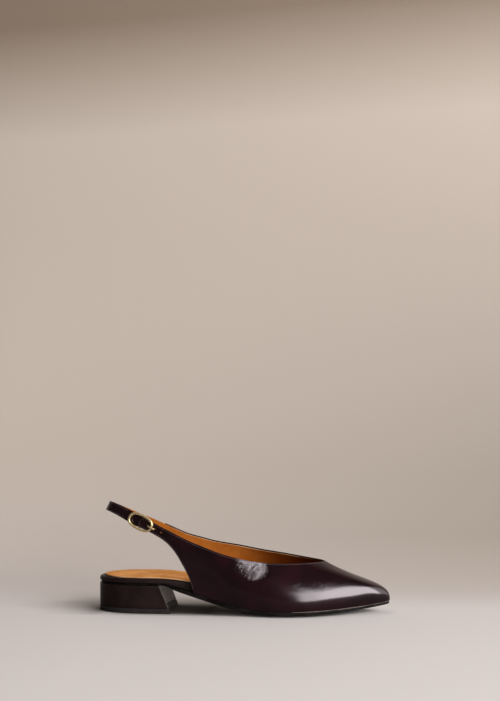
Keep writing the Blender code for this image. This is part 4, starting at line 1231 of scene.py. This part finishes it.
def lay_block(name, foot, top, rounds, shares):
    """A block with rounded rims, lofted through levels from its foot to its top and closed to its middle."""
    levels = [(foot + drop, inset) for inset, drop in reversed(rim_arc(rounds[0]))]
    levels += [(foot + (top - foot) * share, 0.0) for share in shares]
    levels += [(top - drop, inset) for inset, drop in rim_arc(rounds[1])]
    rings = []
    for height, inset in levels:
        share = height / SEAT_HEIGHT
        breast = BREAST_FOOT + (BREAST_TOP - BREAST_FOOT) * share - inset
        ring = heel_ring(HEEL_TAPER * (1 - share), inset, breast)
        rings.append(np.column_stack([ring, np.full(len(ring), height)]))
    low, high = rings[0], rings[-1]
    shrink = [(share, 1 - share) for share in PLATE_SHARES]
    first = [low * keep + low.mean(axis=0) * share for share, keep in shrink[::-1]]
    last = [high * keep + high.mean(axis=0) * share for share, keep in shrink]
    piece = lay_rings(name, first + rings + last)
    apply_modifier(piece, "BEVEL", width=CORNER_ROUND * MM, **BEVEL)
    return piece


def heel_finish(side):
    """Number of a heel face's finish: the cover, the breast or the breast's corner, which is painted pale as
    a highlight.
    """
    if side.normal.x <= BREAST_SLOPE:
        return 0
    return 2 if abs(side.normal.y) > CORNER_SLOPE else 1


class SLINGBACK_OT_heel(bpy.types.Operator):
    """Covered block heel and its rubber top lift"""

    bl_idname = "slingback.heel"
    bl_label = "Heel"

    def execute(self, context):
        floor = -CAMBER
        foot, top = floor + TOP_LIFT + GAP, SEAT_HEIGHT - OUTSOLE_AT_SEAT - GAP
        block = lay_block("heel_cover", foot, top, HEEL_ROUNDS, HEEL_SHARES)
        dress(block, ("cover_leather", "breast_leather", "worn_corner"), "covered_heel", "heel_block")
        # the breast's corner faces get the painted highlight
        paint_faces(block, heel_finish)
        lift = lay_block("top_lift_rubber", floor, floor + TOP_LIFT, LIFT_ROUNDS, LIFT_SHARES)
        dress(lift, "lift_rubber", "top_lift", "top_lift")
        return {"FINISHED"}


def squared(value):
    """A sine or cosine pushed outward, for an oval that is a little square."""
    return math.copysign(abs(value) ** (2 / BUCKLE_SQUARENESS), value)


def bent_path(corners, radius):
    """A line through corners that are rounded off."""
    corners = np.asarray(corners, float)
    path = [corners[0]]
    for before, corner, after in zip(corners, corners[1:], corners[2:]):
        start, end = corner + radius * unit(before - corner), corner + radius * unit(after - corner)
        t = np.linspace(0, 1, BEND_STEPS + 1)[:, None]
        path += list((1 - t) ** 2 * start + 2 * t * (1 - t) * corner + t * t * end)
    return np.array(path + [corners[-1]])


class SLINGBACK_OT_buckle(bpy.types.Operator):
    """Oval gold buckle with its bar under the tab and its prong through the tab's hole"""

    bl_idname = "slingback.buckle"
    bl_label = "Buckle"

    def execute(self, context):
        wire, prong = sizes().buckle_wire / MM, sizes().prong / MM
        half_length, half_width = BUCKLE_LENGTH / 2 - wire, BUCKLE_WIDTH / 2 - wire
        level = wire + GAP
        turns = np.linspace(0, 2 * math.pi, OVAL_TURNS + 1)
        oval = [(half_length * squared(math.cos(a)), half_width * squared(math.sin(a)), level) for a in turns]
        oval = spaced(np.array(oval), np.arange(OVAL_STEPS) / OVAL_STEPS)
        ring = run_wire("buckle_ring", from_buckle(oval), wire, closed=True)
        dress(ring, "gold_plating", "buckle_metal", "buckle_frame")
        reach = half_width
        staple = [(0, reach, level), (0, reach, -BAR_DEPTH), (0, -reach, -BAR_DEPTH), (0, -reach, level)]
        bar = run_wire("buckle_bar", from_buckle(bent_path(staple, BAR_BEND)), BAR_RADIUS)
        dress(bar, "gold_plating", "buckle_metal")
        crest = 2 * wire + 2 * GAP + prong
        route = [
            (BAR_RADIUS + GAP + prong, 0, -BAR_DEPTH),
            (HOLE_REACH - 1.2 * PRONG_BEND, 0, -BAR_DEPTH + 0.1 * PRONG_BEND),
            (HOLE_REACH - 0.25 * PRONG_BEND, 0, -BAR_DEPTH + 0.7 * PRONG_BEND),
            (HOLE_REACH, 0, -WALL / 2),
            (HOLE_REACH + 0.25 * PRONG_BEND, 0, 0.5 * PRONG_BEND),
            (HOLE_REACH + 0.9 * PRONG_BEND, 0, crest - 0.35 * PRONG_BEND),
            (half_length, 0, crest),
            (half_length + PRONG_REACH, 0, crest - 0.4 * PRONG_BEND),
        ]
        knots = arc_lengths(np.array(route))
        smooth = natural_spline(knots, route)(np.linspace(0, knots[-1], PRONG_STEPS))
        piece = run_wire("prong", from_buckle(smooth), prong)
        dress(piece, "gold_plating", "buckle_metal", "buckle_prong")
        return {"FINISHED"}


# Studio
def one_sided(work):
    """Lets a view from behind see through, as if the paper were taken away there."""
    lit = work.shader.outputs["BSDF"]
    surface = lit.links[0].to_socket
    behind = add_node(work.tree, "ShaderNodeNewGeometry").outputs["Backfacing"]
    clear = add_node(work.tree, "ShaderNodeBsdfTransparent").outputs["BSDF"]
    either = add_node(work.tree, "ShaderNodeMixShader", {0: behind, 1: lit, 2: clear})
    work.tree.links.new(either.outputs[0], surface)


def paper():
    """Seamless paper: pale on the floor and warmer up the wall, with a faint tooth, and painted shade:
    towards the toe's end of the floor, over the top and lower right of the wall, a painted contact shadow
    near the shoe and a darker tone in reflections.
    """
    work = new_work("seamless_paper")
    tree, tint = work.tree, colours()
    along, behind, height = add_node(tree, "ShaderNodeSeparateXYZ", {0: work.place}).outputs
    # painted shade on the floor towards the toe's end
    tone = mix_colours(tree, ramp(tree, along, *FLOOR_ALONG), tint.floor, shaded(tint.floor, FLOOR_SHADE))
    tone = mix_colours(tree, ramp(tree, behind, *SWEEP_BEHIND), tone, tint.backdrop)
    # painted shade at the top of the wall
    slanted = math_node(tree, "MULTIPLY_ADD", along, PAINTED_TOP_SHADE_SLANT, height)
    tone = mix_colours(tree, ramp(tree, slanted, *PAINTED_TOP_SHADE_HEIGHT), tone, shaded(tint.backdrop, PAINTED_TOP_SHADE))
    # painted shade on the lower right of the wall
    side = math_node(tree, "MULTIPLY", ramp(tree, along, *SIDE_ALONG), ramp(tree, height, *SIDE_HEIGHT))
    painted_low_right_shade = math_node(tree, "MULTIPLY", side, ramp(tree, behind, *SIDE_BEHIND))
    tone = mix_colours(tree, painted_low_right_shade, tone, shaded(tint.backdrop, SIDE_SHADE))
    # painted contact shadow from ambient occlusion, under the arch and beside the heel
    reach = {"Distance": NEAR_REACH}
    near = add_node(tree, "ShaderNodeAmbientOcclusion", reach, samples=NEAR_SAMPLES).outputs["AO"]
    near = math_node(tree, "MULTIPLY_ADD", ramp(tree, along, *HEEL_BACK), HEEL_LEE, near)
    ahead = math_node(tree, "MAXIMUM", ramp(tree, along, *AHEAD_ALONG), ramp(tree, behind, *AHEAD_BEHIND))
    open_floor = math_node(tree, "MAXIMUM", ramp(tree, near, *NEAR_EDGES), ahead)
    tone = mix_colours(tree, open_floor, PAINTED_SHADOW_TONE, tone)
    # painted reflection: the paper is darker where glossy rays see it
    mirrored = add_node(tree, "ShaderNodeLightPath").outputs["Is Glossy Ray"]
    wall = math_node(tree, "MULTIPLY", ramp(tree, height, *MIRROR_HEIGHT), MIRROR_WALL)
    dull = math_node(tree, "MAXIMUM", ramp(tree, behind, *MIRROR_BEHIND), wall)
    dulled = math_node(tree, "MULTIPLY", mirrored, dull)
    tone = mix_colours(tree, dulled, tone, shaded(tint.floor, MIRROR_SHADE))
    bump(work, noise_node(tree, work.place, TOOTH, detail=2.0), TOOTH_DEPTH)
    inputs = {"Base Color": tone, "Roughness": PAPER_ROUGH, "Specular IOR Level": PAPER_GLOSS}
    feed(tree, work.shader, inputs)
    one_sided(work)
    return work.material


def soft_panel(row):
    """A soft rectangular light that faces a point, standing upright."""
    light = bpy.data.lights.new(row.name, "AREA")
    light.shape, light.size, light.size_y = "RECTANGLE", row.wide, row.tall
    light.energy = row.power
    panel = bpy.data.objects.new(row.name, light)
    bpy.context.scene.collection.objects.link(panel)
    back = (Vector(row.place) - Vector(row.aim)).normalized()
    side = Vector((0.0, 0.0, 1.0)).cross(back).normalized()
    turn = Matrix((side, back.cross(side), back)).transposed()
    panel.matrix_world = Matrix.Translation(row.place) @ turn.to_4x4()
    panel.visible_glossy = row.mirrored


class SLINGBACK_OT_studio(bpy.types.Operator):
    """Pale floor that sweeps up to a warm wall, with painted shade on the paper, soft lights and the camera
    """

    bl_idname = "slingback.studio"
    bl_label = "Studio"

    def execute(self, context):
        turns = np.linspace(-math.pi / 2, 0, COVE_STEPS + 1)
        cove = [(WALL_PLACE - COVE + COVE * math.cos(a), COVE + COVE * math.sin(a)) for a in turns]
        profile = [(-FLOOR_FRONT, 0.0)] + cove + [(WALL_PLACE, FLOOR_REACH)]
        rows = [[(x, y, z) for x in (-FLOOR_REACH, FLOOR_REACH)] for y, z in profile]
        sweep = lay_grid("sweep", np.array(rows) / MM + [LENGTH / 2, MIDDLE, -CAMBER])
        select_only(sweep)
        bpy.ops.object.shade_smooth()
        sweep.data.materials.append(paper())
        for row in PANELS:
            soft_panel(row)
        world = bpy.data.worlds.new("room")
        context.scene.world = world
        world.use_nodes = True
        room = world.node_tree.nodes["Background"]
        room.inputs["Color"].default_value = ROOM_COLOUR
        room.inputs["Strength"].default_value = ROOM_STRENGTH
        context.scene.view_settings.view_transform = "Standard"
        self.place_camera(context)
        return {"FINISHED"}

    def place_camera(self, context):
        lens = bpy.data.cameras.new("camera")
        lens.lens, lens.sensor_width, lens.clip_start = CAMERA_LENS, CAMERA_SENSOR, CAMERA_NEAR
        camera = bpy.data.objects.new("camera", lens)
        context.scene.collection.objects.link(camera)
        yaw, pitch = CAMERA_TURN
        forward = Vector((math.sin(yaw) * math.cos(pitch), math.cos(yaw) * math.cos(pitch), math.sin(pitch)))
        right = Vector((math.cos(yaw), -math.sin(yaw), 0.0))
        turn = Matrix((right, right.cross(forward), -forward)).transposed()
        camera.matrix_world = Matrix.Translation(CAMERA_PLACE) @ turn.to_4x4()
        context.scene.camera = camera


class SLINGBACK_PT_panel(bpy.types.Panel):
    """Sizes, colours and steps of the slingback flat"""

    bl_idname = "SLINGBACK_PT_panel"
    bl_label = "Slingback flat"
    bl_space_type = "VIEW_3D"
    bl_region_type = "UI"
    bl_category = "Slingback"

    def draw(self, context):
        for group in (sizes(), colours()):
            box = self.layout.box()
            for name in group.__annotations__:
                box.prop(group, name)
        for step in STEPS:
            self.layout.operator(step.bl_idname)


STEPS = (
    SLINGBACK_OT_upper,
    SLINGBACK_OT_strap,
    SLINGBACK_OT_sole,
    SLINGBACK_OT_heel,
    SLINGBACK_OT_buckle,
    SLINGBACK_OT_studio,
)
CLASSES = (SlingbackSizes, SlingbackColours, *STEPS, SLINGBACK_PT_panel)


def register():
    for each in CLASSES:
        bpy.utils.register_class(each)
    bpy.types.Scene.slingback_sizes = PointerProperty(type=SlingbackSizes)
    bpy.types.Scene.slingback_colours = PointerProperty(type=SlingbackColours)


def unregister():
    del bpy.types.Scene.slingback_sizes
    del bpy.types.Scene.slingback_colours
    for each in reversed(CLASSES):
        bpy.utils.unregister_class(each)


def main():
    register()
    bpy.ops.slingback.upper()
    bpy.ops.slingback.strap()
    bpy.ops.slingback.sole()
    bpy.ops.slingback.heel()
    bpy.ops.slingback.buckle()
    bpy.ops.slingback.studio()


if __name__ == "__main__":
    main()
